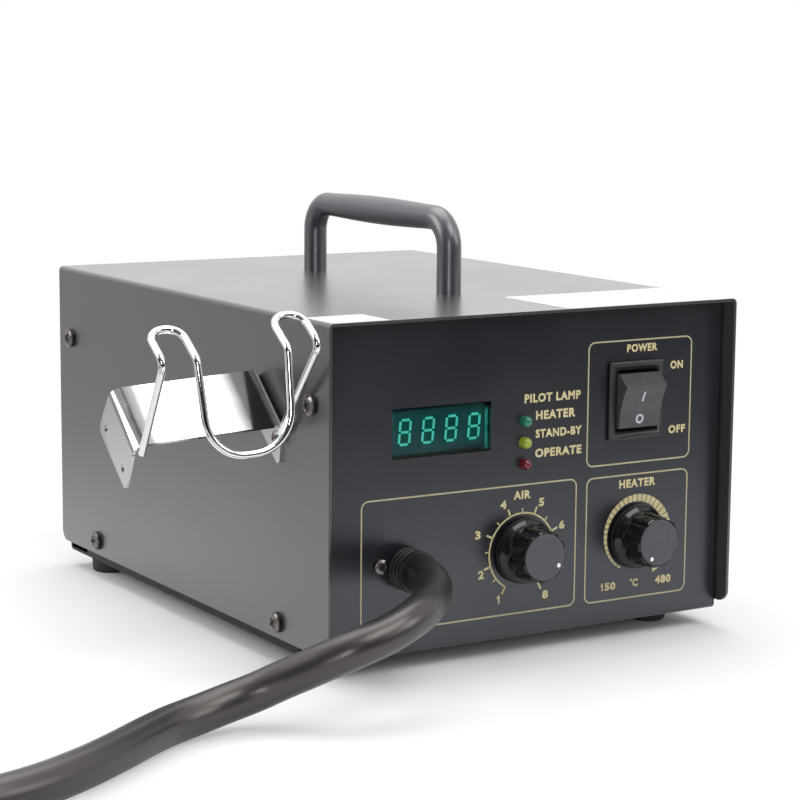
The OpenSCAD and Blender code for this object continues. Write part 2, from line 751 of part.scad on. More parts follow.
// Nuts behind or in front of the panel: one on each potentiometer and one on the hose gland
module panel_nuts() {
    gland_thread_r = gland_d / 2 - 1;
    color("#b9babc") {
        for (x = [-air_x, heater_x]) on_front(x, knob_z) hex_nut(bushing_r, 2.2, 2);
        on_front(-outlet_x, outlet_z) translate([0, 0, -sheet - 4]) hex_nut(gland_thread_r, 1.8, 4);
    }
}

// A shaft with a flat near its end
module pot_shaft(x, pointer) {
    on_front(x, knob_z) rotate(pointer) difference() {
        translate([0, 0, -sheet - 5.8]) cylinder(h = shaft_end + sheet + 5.8, d = shaft_d);
        translate([-shaft_d, shaft_d / 4, bushing_l + 0.5]) cube([2 * shaft_d, shaft_d, 30]);
    }
}

air_pointer = -30;
heater_pointer = 240;

module air_shaft() { color("#b5a46a") pot_shaft(-air_x, air_pointer); }
module heater_shaft() { color("#b5a46a") pot_shaft(heater_x, heater_pointer); }

// A fluted knob: wide skirt, waist, straight barrel, recess for the cap in its front
module knob(x, pointer) {
    on_front(x, knob_z) rotate(pointer) difference() {
        rotate_extrude() difference() {
            polygon([
                [0, knob_foot], [skirt_d / 2 - 0.6, knob_foot], [skirt_d / 2, knob_foot + 0.8],
                [skirt_d / 2 - 0.4, 3.2], [barrel_d / 2 + 0.8, 4.6], [barrel_d / 2 + 0.2, 5.4],
                [barrel_d / 2, 6.4], [barrel_d / 2, knob_h - 1.2], [barrel_d / 2 - 0.8, knob_h - 0.4],
                [0, knob_h - 0.4]
            ]);
            translate([0, knob_h - cap_t]) square([barrel_d / 2 - 1.1, 2]);
            square([bushing_r + 3, 3]);
            square([bushing_r + 0.5, bushing_l + 0.5]);
        }
        for (i = [0 : flutes - 1]) rotate(i * 360 / flutes) translate([barrel_d / 2 + 0.8, 0, 5.6])
            cylinder(h = knob_h, r = 1.8);
        difference() {
            cylinder(h = shaft_end + 0.3, r = shaft_d / 2 + close_fit);
            translate([-shaft_d, shaft_d / 4 + close_fit, bushing_l + 0.5]) cube([2 * shaft_d, shaft_d, 30]);
        }
    }
}

module air_knob() { color("#151517") knob(-air_x, air_pointer); }
module heater_knob() { color("#151517") knob(heater_x, heater_pointer); }

module knob_cap(x) {
    on_front(x, knob_z) translate([0, 0, knob_h - cap_t]) rotate_extrude()
        polygon([[0, 0], [barrel_d / 2 - 1.15, 0], [barrel_d / 2 - 1.15, cap_t - 0.3],
            [barrel_d / 2 - 1.6, cap_t], [0, cap_t]]);
}

module air_knob_cap() { color("#4b4d52") knob_cap(-air_x); }
module heater_knob_cap() { color("#4b4d52") knob_cap(heater_x); }

module panel_screw() {
    color("#c3c4c6") on_front(-outlet_x - 11.5, outlet_z + 2) pan_screw(5.6, 2, 3, 7);
}

// The gland: ribbed collar outside, thread through the panel, barb for the air tube inside
module hose_gland() {
    r = gland_d / 2;
    color("#1b1b1d") on_front(-outlet_x, outlet_z) rotate_extrude() difference() {
        union() {
            square([r, gland_l]);
            translate([0, -9]) square([r - 1, 9]);
            translate([0, -20]) square([tube_bore / 2 - close_fit, 12]);
            for (i = [0 : 1]) translate([0, -18.5 + i * 4])
                polygon([[0, 0], [tube_bore / 2 - 0.4, 0], [tube_bore / 2 - close_fit, 1.6], [0, 1.6]]);
        }
        for (i = [0 : 2]) translate([r - 0.8, 1.6 + i * 2.4]) square([2, 0.9]);
        translate([-1, -21]) square([tube_bore / 2, 30 + 21]);
        translate([0, -4]) square([hose_r - 2, 30]);
    }
}

module hose() { color("#111114") swept_tube(hose_route, hose_r, hose_sides); }
module hose_tail() { color("#111114") swept_tube(tail_route, hose_r, hose_sides); }

module hose_coil() {
    color("#111114") translate([coil_centre[0], coil_centre[1], 0]) rotate_extrude()
        translate([coil_r, (coil_top + 0.1) / 2]) rounded_rect(hose_d + 0.2, coil_top - 0.1, hose_r - 0.1);
}

function mount_places() = [for (x = [-1, 1], y = [-1, 1])
    [pump_cx + x * (pump_w / 2 - 9), pump_cy + y * (pump_d / 2 - 9)]];

module pump_mounts() {
    color("#1c1c1e") for (p = mount_places()) translate([p[0], p[1], 0]) {
        translate([0, 0, floor_z]) rotate_extrude()
            polygon([
                [0, 0], [7, 0], [7, 2.5], [5, mount_h / 2], [7, mount_h - 2.5], [7, mount_h], [0, mount_h]
            ]);
        translate([0, 0, foot_h - 0.6]) cylinder(h = sheet + 0.6, r = 2);
        translate([0, 0, pump_z]) cylinder(h = pump_base_t + 0.6, r = 2);
        translate([0, 0, pump_z + pump_base_t]) cylinder(h = 1.6, r = 3.4);
    }
}

// Base plate with turned-up ends that carry the heads, and the two pivot pins of the arms
module pump_base() {
    color("#9da1a6") difference() {
        union() {
            translate([pump_cx - pump_w / 2, pump_cy - pump_d / 2, pump_z]) cube([pump_w, pump_d, pump_base_t]);
            for (side = [-1, 1]) translate([pump_cx, pump_cy, pump_z]) {
                translate([side * (head_face + head_l + pump_base_t / 2) - pump_base_t / 2, -24, 0])
                    cube([pump_base_t, 48, arm_z - pump_z + 14]);
                translate([side * arm_x, arm_pivot_y, 0]) {
                    cylinder(h = arm_z - pump_z - 7.2, r = 4);
                    cylinder(h = arm_z - pump_z + 9, r = 2);
                }
            }
        }
        for (p = mount_places()) translate([p[0], p[1], pump_z - 1]) cylinder(h = 5, r = 2 + close_fit);
    }
}

// Laminated core: a leg across the pump through the coil, a pole plate at each end, and its foot
module pump_core() {
    color("#6f7276") translate([pump_cx, pump_cy + core_y, 0]) {
        translate([-pole_x, -core_d / 2, arm_z - 7]) cube([2 * pole_x, core_d, 14]);
        for (side = [-1, 1]) translate([side * (pole_x - pole_t / 2) - pole_t / 2, -14, pump_z + pump_base_t])
            cube([pole_t, 28, arm_z + 14 - pump_z - pump_base_t]);
    }
}

module pump_coil() {
    coil_w = 2 * (pole_x - pole_t - clear);
    color("#8a4a22") translate([pump_cx, pump_cy + core_y, arm_z]) difference() {
        cube([coil_w, 26, 27], center = true);
        cube([coil_w + 2, core_d + 2 * clear, 14 + 2 * clear], center = true);
    }
}

// One arm: hinged at the front, a magnet at the rear end and the pusher in the middle
module pump_arm(side) {
    color("#b9bcc0") translate([pump_cx + side * arm_x, pump_cy, arm_z]) {
        difference() {
            union() {
                translate([-arm_t / 2, arm_pivot_y, -7]) cube([arm_t, arm_l, 14]);
                translate([0, arm_pivot_y, -7]) cylinder(h = 14, r = 4.2);
                translate([side * arm_t / 2, 0, 0]) rotate([0, side * 90, 0])
                    cylinder(h = head_face - arm_x - arm_t / 2 - 0.9, r = 3);
            }
            translate([0, arm_pivot_y, -9]) cylinder(h = 18, r = 2 + close_fit);
        }
        translate([-side * (arm_t / 2 + 2) - 2, arm_pivot_y + arm_l - 16, -6]) cube([4, 14, 12]);
    }
}

module pump_arm_left() { pump_arm(-1); }
module pump_arm_right() { pump_arm(1); }

// Two round chamber heads, each bolted to its upright, with an outlet stub on top
module pump_heads() {
    color("#232427") for (side = [-1, 1]) translate([pump_cx + side * (head_face + 2.6), pump_cy, arm_z])
        difference() {
            union() {
                rotate([0, side * 90, 0]) cylinder(h = head_l - 2.6, r = head_r);
                translate([side * 6, 0, 0]) cylinder(h = head_r + 5, r = 3);
            }
            translate([0, 0, -2]) rotate([0, side * 90, 0]) cylinder(h = 2, r = 4);
            for (a = [45 : 90 : 315]) rotate([a, 0, 0]) translate([side * -1, 0, head_r - 3.4])
                rotate([0, side * 90, 0]) cylinder(h = 3.5, r = 1.4);
        }
}

module pump_diaphragms() {
    color("#3b2f2a") for (side = [-1, 1]) translate([pump_cx + side * head_face, pump_cy, arm_z])
        rotate([0, side * 90, 0]) rotate_extrude()
            polygon([
                [0, 0], [8, 0], [9, 0.8], [11, 0.8], [12, 0], [head_r - 0.6, 0], [head_r - 0.6, 2.6], [0, 2.6]
            ]);
}

// Rigid manifold that joins both heads' outlets over the arms and ends in a nipple at the front
module pump_manifold() {
    stub_x = head_face + 2.6 + 6;
    left = [pump_cx - stub_x, pump_cy, manifold_z - 1];
    color("#c8c9c4") difference() {
        union() {
            bent_bar([left, left + [0, 0, 8], left + [2 * stub_x, 0, 8], left + [2 * stub_x, 0, 0]],
                [0, 5, 5, 0], 3.6);
            bar([pump_cx, pump_cy, manifold_z + 7], [pump_cx, nipple_y, manifold_z + 7], 3.6);
            bar([pump_cx, nipple_y, manifold_z + 7], [pump_cx, nipple_y - 10, manifold_z + 7],
                tube_bore / 2 - close_fit);
        }
        bar([pump_cx, nipple_y + 12, manifold_z + 7], [pump_cx, nipple_y - 11, manifold_z + 7], 1.4);
    }
}

// Silicone tube from the manifold's nipple down to the gland's barb
module air_tube() {
    barb_y = panel_y + 9.2;
    start = [pump_cx, nipple_y - 0.2, manifold_z + 7];
    low = [-outlet_x, barb_y, foot_h + outlet_z];
    corners = [start, [start[0], start[1] - 26, start[2]], [low[0], low[1] + 44, low[2]], low];
    color("#d9d6cc") difference() {
        bent_bar(corners, [0, 14, 14, 0], tube_d / 2);
        bent_bar([start + [0, 1, 0], corners[1], corners[2], low - [0, 1, 0]], [0, 14, 14, 0], tube_bore / 2);
    }
}

transformer_cx = body_w / 2 - transformer_x;
transformer_cy = body_d / 2 - transformer_y;

module transformer_core() {
    color("#6b6d70") translate([transformer_cx, transformer_cy, floor_z]) difference() {
        union() {
            translate([-24, -11, 2]) cube([48, 22, 40]);
            translate([-30, -11, 0]) cube([60, 22, 2]);
        }
        for (side = [-1, 1]) translate([side * 12 - 4, -12, 10]) cube([8, 24, 24]);
        for (side = [-1, 1]) translate([side * 27, 0, -1]) cylinder(h = 4, r = 1.8);
    }
}

module transformer_coil() {
    color("#c9a227") translate([transformer_cx, transformer_cy, floor_z + 22]) difference() {
        translate([-15.7, -18, -11.7]) cube([31.4, 36, 23.4]);
        translate([-8.3, -11.3, -13]) cube([16.6, 22.6, 26]);
    }
}

board_x = body_w / 2 - board_side - board_w / 2;
board_y = panel_y + 4.5 + board_d / 2;
sink_x = 14;
board_z = floor_z + standoff_h;
board_holes = [for (x = [-1, 1], y = [-1, 1])
    [board_x + x * (board_w / 2 - 4), board_y + y * (board_d / 2 - 4)]];

module main_board() {
    color("#1f6b3a") translate([0, 0, board_z]) linear_extrude(1.6) difference() {
        translate([board_x, board_y]) rounded_rect(board_w, board_d, 1.5);
        for (p = board_holes) translate(p) circle(1.6);
    }
}

module board_standoffs() {
    color("#c8b16a") for (p = board_holes) translate([p[0], p[1], 0]) {
        translate([0, 0, floor_z]) cylinder(h = standoff_h, r = 3);
        translate([0, 0, board_z]) cylinder(h = 1.6, r = 1.55);
        translate([0, 0, board_z + 1.6]) cylinder(h = 1.8, r = 2.8);
    }
}

module heat_sink() {
    color("#8f9396") translate([board_x + sink_x, board_y + 6, board_z + 1.6]) {
        translate([0, -18, 0]) cube([3, 36, 30]);
        for (i = [0 : 5]) translate([3, -18 + i * 7, 0]) cube([9, 1.4, 30]);
    }
}

// What stands on the main board: triac against the heat sink, capacitors, chip, terminal block
module board_parts() {
    translate([board_x, board_y, board_z + 1.6]) {
        color("#1a1a1c") translate([sink_x - 4.6, 1, 3]) cube([4.6, 10, 16]);
        color("#22304f") translate([-16, 24, 0]) cylinder(h = 20, r = 6);
        color("#22304f") translate([0, 26, 0]) cylinder(h = 14, r = 4.5);
        color("#1a1a1c") translate([-24, -12, 0]) cube([20, 8, 4]);
        color("#1f6e4e") translate([-17, -38, 0]) cube([34, 8, 10]);
        color("#b7802a") translate([-22, 4, 0]) cube([14, 6, 11]);
    }
}

// Mains inlet: flanged body with a socket and three blades
module power_inlet() {
    color("#1a1a1c") on_back(-45, 38) {
        difference() {
            union() {
                translate([0, 0, 0]) rounded_block(31, 24, 2.4, 3);
                translate([0, 0, -22]) rounded_block(27.4, 20.4, 22, 1.5);
            }
            translate([0, 0, -15.6]) rounded_block(24, 17, 30, 1.2);
        }
        for (p = [[-7, -1.5], [7, -1.5], [0, 2.5]]) translate([p[0] - 1, p[1] - 2, -22]) cube([2, 4, 17]);
    }
}

module fuse_holder() {
    color("#1a1a1c") on_back(-45, 78) difference() {
        union() {
            cylinder(h = 2, r = 8);
            translate([0, 0, -25]) cylinder(h = 25, r = 6);
            translate([0, 0, -sheet - 4]) difference() {
                cylinder(h = 4, r = 9, $fn = 6);
                translate([0, 0, -1]) cylinder(h = 8, r = 6);
            }
        }
        translate([0, 0, -22.4]) cylinder(h = 40, r = 4.6);
    }
}

module fuse_cap() {
    color("#2a2a2c") on_back(-45, 78) difference() {
        union() {
            translate([0, 0, 2.3]) cylinder(h = 7, r = 6.6);
            translate([0, 0, -9]) cylinder(h = 12, r = 4.6 - close_fit);
        }
        for (i = [0 : 11]) rotate(i * 30) translate([7.4, 0, 3.4]) cylinder(h = 10, r = 1.1);
        translate([-5, -0.6, 8.3]) cube([10, 1.2, 4]);
        translate([0, 0, -10]) cylinder(h = 8, r = 2.6 + close_fit);
    }
}

module fuse() {
    color("#c9c4b4") on_back(-45, 78) translate([0, 0, -22.1]) cylinder(h = 20, r = 2.6);
}

// Children along the handpiece's axis, with their own +Z running from the hose to the nozzle
module at_grip() {
    translate([-grip_x, grip_y, collar_r]) rotate([-90, 0, 0]) children();
}

function grip_radius(s) = 14.4 + 1.1 * sin(360 * (s - 0.36));
grip_outline = [for (i = [0 : 12]) let (s = i / 12) [grip_radius(s), 14 + s * (grip_l - 26)]];

module grip_section() {
    difference() {
        polygon(concat(
            [[0, 0], [12.6, 0], [15.6, 1.2], [collar_r, 4], [collar_r, 8.6], [15.2, 11.4]],
            grip_outline,
            [[15.4, grip_l - 10], [collar_r, grip_l - 7.6], [collar_r, grip_l - 3], [15.6, grip_l], [0, grip_l]]
        ));
        polygon(concat(
            [[0, 6]],
            [for (p = grip_outline) [p[0] - grip_wall, p[1]]],
            [[0, grip_l - 8]]
        ));
        translate([0, -1]) square([10, 9]);
        translate([0, grip_l - 18]) square([pipe_r + close_fit, 30]);
    }
}

grip_screw_places = [22, 58, 92];

// One of the two shells, split along the axis, with half of each screw post
module grip_shell(side) {
    at_grip() difference() {
        intersection() {
            union() {
                rotate_extrude() grip_section();
                for (z = grip_screw_places) translate([0, 0, z]) rotate([0, 90, 0])
                    cylinder(h = 26, r = 3.4, center = true);
            }
            translate([side > 0 ? 0 : -30, -30, -1]) cube([30, 60, grip_l + 2]);
        }
        for (z = grip_screw_places) translate([0, 0, z]) rotate([0, 90, 0]) {
            cylinder(h = 50, r = 1.5 + close_fit, center = true);
            translate([0, 0, side > 0 ? 11 : -40]) cylinder(h = side > 0 ? 20 : 29, r = 2.9);
        }
    }
}

module grip_left() { color("#17181b") grip_shell(-1); }
module grip_right() { color("#17181b") grip_shell(1); }

module grip_screws() {
    color("#8d8f92") at_grip() for (z = grip_screw_places) translate([11, 0, z]) rotate([0, 90, 0])
        pan_screw(5.4, 1.8, 3, 18);
}

// Ribbed rubber boot that grips the hose and sits in the grip's rear mouth
module hose_boot() {
    color("#0f0f11") at_grip() rotate_extrude() difference() {
        union() {
            translate([0, -boot_l]) square([hose_r + 2, boot_l]);
            for (i = [0 : 3]) translate([0, -boot_l + 2 + i * 5]) square([hose_r + 2.8 + i * 0.4, 2.4]);
            square([10 - close_fit, 6]);
        }
        translate([0, 0]) square([4, 30]);
        translate([0, -boot_l - 1]) square([hose_r - 2, 50]);
    }
}

// Steel pipe with its closed root in the grip and two rings of cooling holes in front of it
module heater_pipe() {
    color("#b3b1ac") at_grip() difference() {
        translate([0, 0, grip_l - pipe_root]) cylinder(h = pipe_root + pipe_l, r = pipe_r);
        translate([0, 0, grip_l - pipe_root + 2]) cylinder(h = pipe_root + pipe_l, r = pipe_r - pipe_wall);
        translate([0, 0, grip_l - pipe_root - 1]) cylinder(h = 5, r = 4);
        for (row = [0 : 1], i = [0 : 5]) translate([0, 0, grip_l + 5 + row * 6])
            rotate([0, 90, i * 60 + row * 30]) cylinder(h = 30, r = 1.6);
    }
}

// Ceramic core of the heater: seven lengthwise channels for the coiled wire and the air
module heater_core() {
    color("#e6e0d2") at_grip() translate([0, 0, grip_l + 16]) difference() {
        cylinder(h = pipe_l - 24, r = pipe_r - pipe_wall - clear);
        translate([0, 0, -1]) cylinder(h = pipe_l, r = 2);
        for (i = [0 : 5]) rotate(i * 60) translate([6.2, 0, -1]) cylinder(h = pipe_l, r = 1.9);
    }
}

// Slip-on nozzle: split sleeve with two clamp ears, cone and outlet tube
module nozzle() {
    bore = pipe_r + nozzle_fit;
    r = pipe_r + 1.1;
    color("#a9a7a2") at_grip() translate([0, 0, nozzle_start]) difference() {
        union() {
            rotate_extrude() difference() {
                polygon([[0, 0], [r, 0], [r, nozzle_l + 1], [outlet_d / 2 + 1, nozzle_l + 12],
                    [outlet_d / 2 + 1, nozzle_l + 28], [0, nozzle_l + 28]]);
                polygon([[0, -1], [bore, -1], [bore, nozzle_l + 0.4], [outlet_d / 2, nozzle_l + 11.4],
                    [outlet_d / 2, nozzle_l + 29], [0, nozzle_l + 29]]);
            }
            for (side = [-1, 1]) translate([side * 1.7 - 0.7, -r - 6, 2]) difference() {
                cube([1.4, 7, 8]);
                translate([-1, 2.8, 4]) rotate([0, 90, 0]) cylinder(h = 4, r = 1.5 + close_fit);
            }
        }
        translate([-0.9, -r - 7, -1]) cube([1.8, 9, nozzle_l - 1]);
    }
}

module nozzle_screw() {
    r = pipe_r + 1.1;
    color("#c3c4c6") at_grip() translate([2.4, -r - 3.2, nozzle_start + 6]) rotate([0, 90, 0]) {
        pan_screw(5, 2, 3, 8);
        translate([0, 0, -7]) difference() {
            cylinder(h = 2.2, r = 2.9, $fn = 6);
            translate([0, 0, -1]) cylinder(h = 5, r = 1.4);
        }
    }
}

chassis_tray();
cover();
cover_screws();
rubber_feet();
case_screws();
carry_handle();
holder_bracket();
holder_wire();
holder_screws();
display_window();
digit_display();
display_board();
display_spacers();
green_lamp();
yellow_lamp();
red_lamp();
switch_housing();
switch_rocker();
potentiometers();
panel_nuts();
air_shaft();
heater_shaft();
air_knob();
heater_knob();
air_knob_cap();
heater_knob_cap();
panel_screw();
hose_gland();
hose();
hose_coil();
hose_tail();
pump_base();
pump_mounts();
pump_core();
pump_coil();
pump_arm_left();
pump_arm_right();
pump_heads();
pump_diaphragms();
pump_manifold();
air_tube();
transformer_core();
transformer_coil();
main_board();
board_standoffs();
heat_sink();
board_parts();
power_inlet();
fuse_holder();
fuse_cap();
fuse();
hose_boot();
grip_left();
grip_right();
grip_screws();
heater_pipe();
heater_core();
nozzle();
nozzle_screw();
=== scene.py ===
from math import acos, cos, pi, radians, sin, sqrt, tan

import bmesh
import bpy
from mathutils import Matrix, Vector


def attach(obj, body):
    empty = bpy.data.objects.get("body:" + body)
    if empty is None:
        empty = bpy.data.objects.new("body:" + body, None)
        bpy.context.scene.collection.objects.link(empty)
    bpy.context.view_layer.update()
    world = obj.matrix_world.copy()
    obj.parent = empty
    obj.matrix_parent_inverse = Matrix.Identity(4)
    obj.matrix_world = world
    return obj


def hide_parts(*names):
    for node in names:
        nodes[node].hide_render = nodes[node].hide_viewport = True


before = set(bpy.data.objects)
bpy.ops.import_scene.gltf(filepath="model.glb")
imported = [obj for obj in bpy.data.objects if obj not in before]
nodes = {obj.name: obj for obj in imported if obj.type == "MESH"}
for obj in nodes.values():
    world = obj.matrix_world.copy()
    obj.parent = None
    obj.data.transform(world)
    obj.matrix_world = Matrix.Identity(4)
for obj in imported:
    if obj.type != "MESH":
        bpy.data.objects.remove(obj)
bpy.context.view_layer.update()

# Camera
# It stands on a low tripod to the front left of the station, a little above the cover's top edge,
# with a long lens and no depth of field.
camera_place = (-0.4981, -0.8353, 0.2339)
yaw, pitch, roll = radians(31.36), radians(8.75), radians(0.47)
film_width, focal_widths = 36, 2306 / 800
ahead = Vector((sin(yaw) * cos(pitch), cos(yaw) * cos(pitch), -sin(pitch)))
level_right = Vector((cos(yaw), -sin(yaw), 0))
level_up = level_right.cross(ahead)
right = cos(roll) * level_right + sin(roll) * level_up
up = -sin(roll) * level_right + cos(roll) * level_up
lens = bpy.data.cameras.new("view")
lens.sensor_width = film_width
lens.lens = film_width * focal_widths
lens.clip_end = 60
camera = bpy.data.objects.new("view", lens)
bpy.context.scene.collection.objects.link(camera)
turned = Matrix((right, up, -ahead)).transposed().to_4x4()
camera.matrix_world = Matrix.Translation(camera_place) @ turned
bpy.context.scene.camera = camera

# Air hose
# A thick black rubber hose, extruded, with the heater's wires inside it. It leaves the gland on the
# front panel, drops to the bench, lies in one and a quarter turns and ends in the handpiece's boot.
MM = 0.001
hose_radius = 6.9 * MM
hose_rest = 7  # height of its axis where it lies on the bench
hose_run = [
    (-56, -124.5, 40), (-56, -126, 40), (-57, -132, 40), (-60, -141, 39), (-66, -150, 38), (-75, -160, 37),
    (-86, -167, 35), (-97, -170, 32), (-108, -170, 29), (-117, -166, 25), (-124, -161, 21),
    (-131, -156, 17), (-139, -152, 13), (-149, -150, 10), (-160, -151, 8), (-173, -155, 7),
    (-186, -163, 7), (-202, -174, 7), (-220, -185, 7), (-240, -194, 7), (-262, -199, 7),
    (-282, -200, 7), (-300, -200, 7)
]
hose_end = [(-402, -97, 24), (-402, -80, 22), (-402, -61, 18.5), (-402, -45, 17), (-402, -37, 17)]
coil_x, coil_y, coil_radius, coil_rise = -320, -118, 82, 17.4
coil_steps, coil_start, coil_sweep = 45, -90, -450
hose_coil = []
for i in range(coil_steps + 1):
    angle = radians(coil_start + coil_sweep * i / coil_steps)
    hose_coil.append((coil_x + coil_radius * cos(angle), coil_y + coil_radius * sin(angle),
                      hose_rest + coil_rise * i / coil_steps))
hose_points = [Vector(p) * MM for p in hose_run + hose_coil + hose_end]
hose_line = bpy.data.curves.new("hose_line", "CURVE")
hose_line.dimensions = "3D"
spline = hose_line.splines.new("BEZIER")
spline.bezier_points.add(len(hose_points) - 1)
for point, place in zip(spline.bezier_points, hose_points):
    point.co = place
    point.handle_left_type = point.handle_right_type = "AUTO"
hose_line.resolution_u = 5
hose_line.bevel_depth = hose_radius
hose_line.bevel_resolution = 7
hose_line.use_fill_caps = True
hose = bpy.data.objects.new("air_hose", hose_line)
bpy.context.scene.collection.objects.link(hose)


def add_node(tree, kind, inputs=None, operation=None):
    """A new node. Each of its inputs takes a value, or an output that is linked to it."""
    made = tree.nodes.new("ShaderNode" + kind)
    if operation:
        made.operation = operation
    for socket, value in (inputs or {}).items():
        if isinstance(value, bpy.types.NodeSocket):
            tree.links.new(value, made.inputs[socket])
        else:
            made.inputs[socket].default_value = value
    return made


def ranged(tree, value, low, high, to_low, to_high, course="LINEAR"):
    """A value carried over from one range to another, and held at the ends."""
    carried = add_node(tree, "MapRange", {"Value": value, "From Min": low, "From Max": high,
                                          "To Min": to_low, "To Max": to_high})
    carried.interpolation_type = course
    return carried.outputs["Result"]


def finish_of(name, color, roughness, metallic=0.0, sockets=None):
    """A new material with plain values on its shader's sockets."""
    material = bpy.data.materials.new(name)
    material.use_nodes = True
    shader = material.node_tree.nodes["Principled BSDF"]
    plain = {"Base Color": (*color, 1), "Roughness": roughness, "Metallic": metallic}
    for socket, value in {**plain, **(sockets or {})}.items():
        shader.inputs[socket].default_value = value
    return material


def feed(material, socket, source):
    """Links an output to one of the shader's sockets."""
    tree = material.node_tree
    tree.links.new(source, tree.nodes["Principled BSDF"].inputs[socket])


def grain(material, scale, detail, stretch):
    """Noise in the piece's own coordinates, as the start of a finish's texture."""
    tree = material.node_tree
    place = add_node(tree, "TexCoord").outputs["Object"]
    stretched = add_node(tree, "Mapping", {"Vector": place, "Scale": stretch}).outputs["Vector"]
    noise = add_node(tree, "TexNoise", {"Vector": stretched, "Scale": scale, "Detail": detail})
    return noise.outputs["Fac"]


def mottle(material, scale, dark, light, detail=4.0, stretch=(1, 1, 1)):
    """Colour that drifts between two tones."""
    ramp = add_node(material.node_tree, "ValToRGB", {"Fac": grain(material, scale, detail, stretch)})
    for i, (place, tone) in enumerate(((0.3, dark), (0.7, light))):
        ramp.color_ramp.elements[i].position = place
        ramp.color_ramp.elements[i].color = (*tone, 1)
    feed(material, "Base Color", ramp.outputs["Color"])


def vary_roughness(material, scale, low, high, detail=4.0, stretch=(1, 1, 1)):
    """Roughness that drifts between two values."""
    noise = grain(material, scale, detail, stretch)
    feed(material, "Roughness", ranged(material.node_tree, noise, 0.2, 0.8, low, high, "SMOOTHERSTEP"))


def emboss(material, scale, depth, strength, detail=4.0, stretch=(1, 1, 1)):
    """A fine relief, its depth in metres."""
    height = grain(material, scale, detail, stretch)
    bump = add_node(material.node_tree, "Bump", {"Distance": depth, "Strength": strength, "Height": height})
    feed(material, "Normal", bump.outputs["Normal"])


hose_rubber = finish_of("hose_rubber", (0.014, 0.0125, 0.0125), 0.24,
                        sockets={"Specular IOR Level": 0.9, "Specular Tint": (1, 0.93, 0.9, 1)})
mottle(hose_rubber, 60, (0.01, 0.009, 0.0092), (0.019, 0.0165, 0.016))
vary_roughness(hose_rubber, 35, 0.29, 0.36)
emboss(hose_rubber, 900, 0.00004, 0.4)
hose_line.materials.append(hose_rubber)
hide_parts("hose", "hose_coil", "hose_tail")
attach(hose, "station")

# Bench and light
# A pale sheet under the station that fades into plain white away from it, four soft lamps and a
# narrow one by the camera, in a room that is bright above and behind the station and darker on the
# camera's side.
sheet_half, foot_print, fade_length, fade_curve = 6, (0.092, 0.1155, 0), 0.42, 0.7
bench_mesh = bpy.data.meshes.new("bench")
bench = bpy.data.objects.new("bench", bench_mesh)
bpy.context.scene.collection.objects.link(bench)
sheet = bmesh.new()
bmesh.ops.create_grid(sheet, x_segments=1, y_segments=1, size=sheet_half)
sheet.to_mesh(bench_mesh)
sheet.free()


def seen_rays(tree):
    """The glossy rays, and 1 for rays from the camera, from gloss and through glass, 0 for the others."""
    rays = add_node(tree, "LightPath").outputs
    seen = rays["Is Camera Ray"]
    for kind in ("Is Glossy Ray", "Is Transmission Ray"):
        seen = add_node(tree, "Math", {0: seen, 1: rays[kind]}, "MAXIMUM").outputs["Value"]
    return rays["Is Glossy Ray"], seen


paper = finish_of("paper", (0.9, 0.9, 0.905), 0.85, sockets={"Specular IOR Level": 0.1})
tree = paper.node_tree
glossy, seen = seen_rays(tree)
spot = add_node(tree, "TexCoord").outputs["Object"]
# How far a spot of the sheet lies outside the station's foot print, from 0 at its edge.
quarter = add_node(tree, "VectorMath", {0: spot}, "ABSOLUTE").outputs["Vector"]
past_edge = add_node(tree, "VectorMath", {0: quarter, 1: foot_print}, "SUBTRACT").outputs["Vector"]
outside = add_node(tree, "VectorMath", {0: past_edge, 1: (0, 0, 0)}, "MAXIMUM").outputs["Vector"]
distance = add_node(tree, "VectorMath", {0: outside}, "LENGTH").outputs["Value"]
faded = add_node(tree, "Math", {0: ranged(tree, distance, 0, fade_length, 0, 1), 1: fade_curve}, "POWER")
share = add_node(tree, "Math", {0: faded.outputs[0], 1: seen}, "MULTIPLY").outputs[0]
# In gloss the sheet is dimmer before and beside the station: the upper part of the front panel and
# the cover's left side mirror the darker room there.
sides = add_node(tree, "SeparateXYZ", {"Vector": spot}).outputs
before = ranged(tree, sides["Y"], -0.57, -0.3, -0.95, 0)
beside = ranged(tree, sides["X"], -0.16, -0.09, -0.46, 0)
dimmer = add_node(tree, "Math", {0: before, 1: beside}, "ADD").outputs[0]
level = add_node(tree, "Math", {0: glossy, 1: dimmer, 2: 1.0}, "MULTIPLY_ADD")
level.use_clamp = True
white = add_node(tree, "Emission", {"Color": (1, 1, 1, 1), "Strength": level.outputs[0]}).outputs[0]
lit = tree.nodes["Principled BSDF"].outputs[0]
mix = add_node(tree, "MixShader", {"Fac": share, 1: lit, 2: white}).outputs[0]
tree.links.new(mix, tree.nodes["Material Output"].inputs["Surface"])
bench_mesh.materials.append(paper)

world = bpy.data.worlds.new("studio")
bpy.context.scene.world = world
world.use_nodes = True
tree = world.node_tree
dim = tree.nodes["Background"]
dim.inputs["Color"].default_value = (0.96, 0.97, 1.0, 1)
dim.inputs["Strength"].default_value = 0.5
glossy, seen = seen_rays(tree)
plain = add_node(tree, "Background", {"Color": (1, 1, 1, 1), "Strength": 1.0}).outputs[0]
way = add_node(tree, "TexCoord").outputs["Generated"]
slope = add_node(tree, "VectorMath", {0: way, 1: (0.8, 0.85, 1.1)}, "DOT_PRODUCT").outputs["Value"]
glow = ranged(tree, slope, -0.45, 1.2, 0.05, 1)
room = add_node(tree, "Background", {"Color": (1, 1, 1, 1), "Strength": glow}).outputs[0]
mirrored = add_node(tree, "MixShader", {"Fac": glossy, 1: plain, 2: room}).outputs[0]
around = add_node(tree, "MixShader", {"Fac": seen, 1: dim.outputs[0], 2: mirrored}).outputs[0]
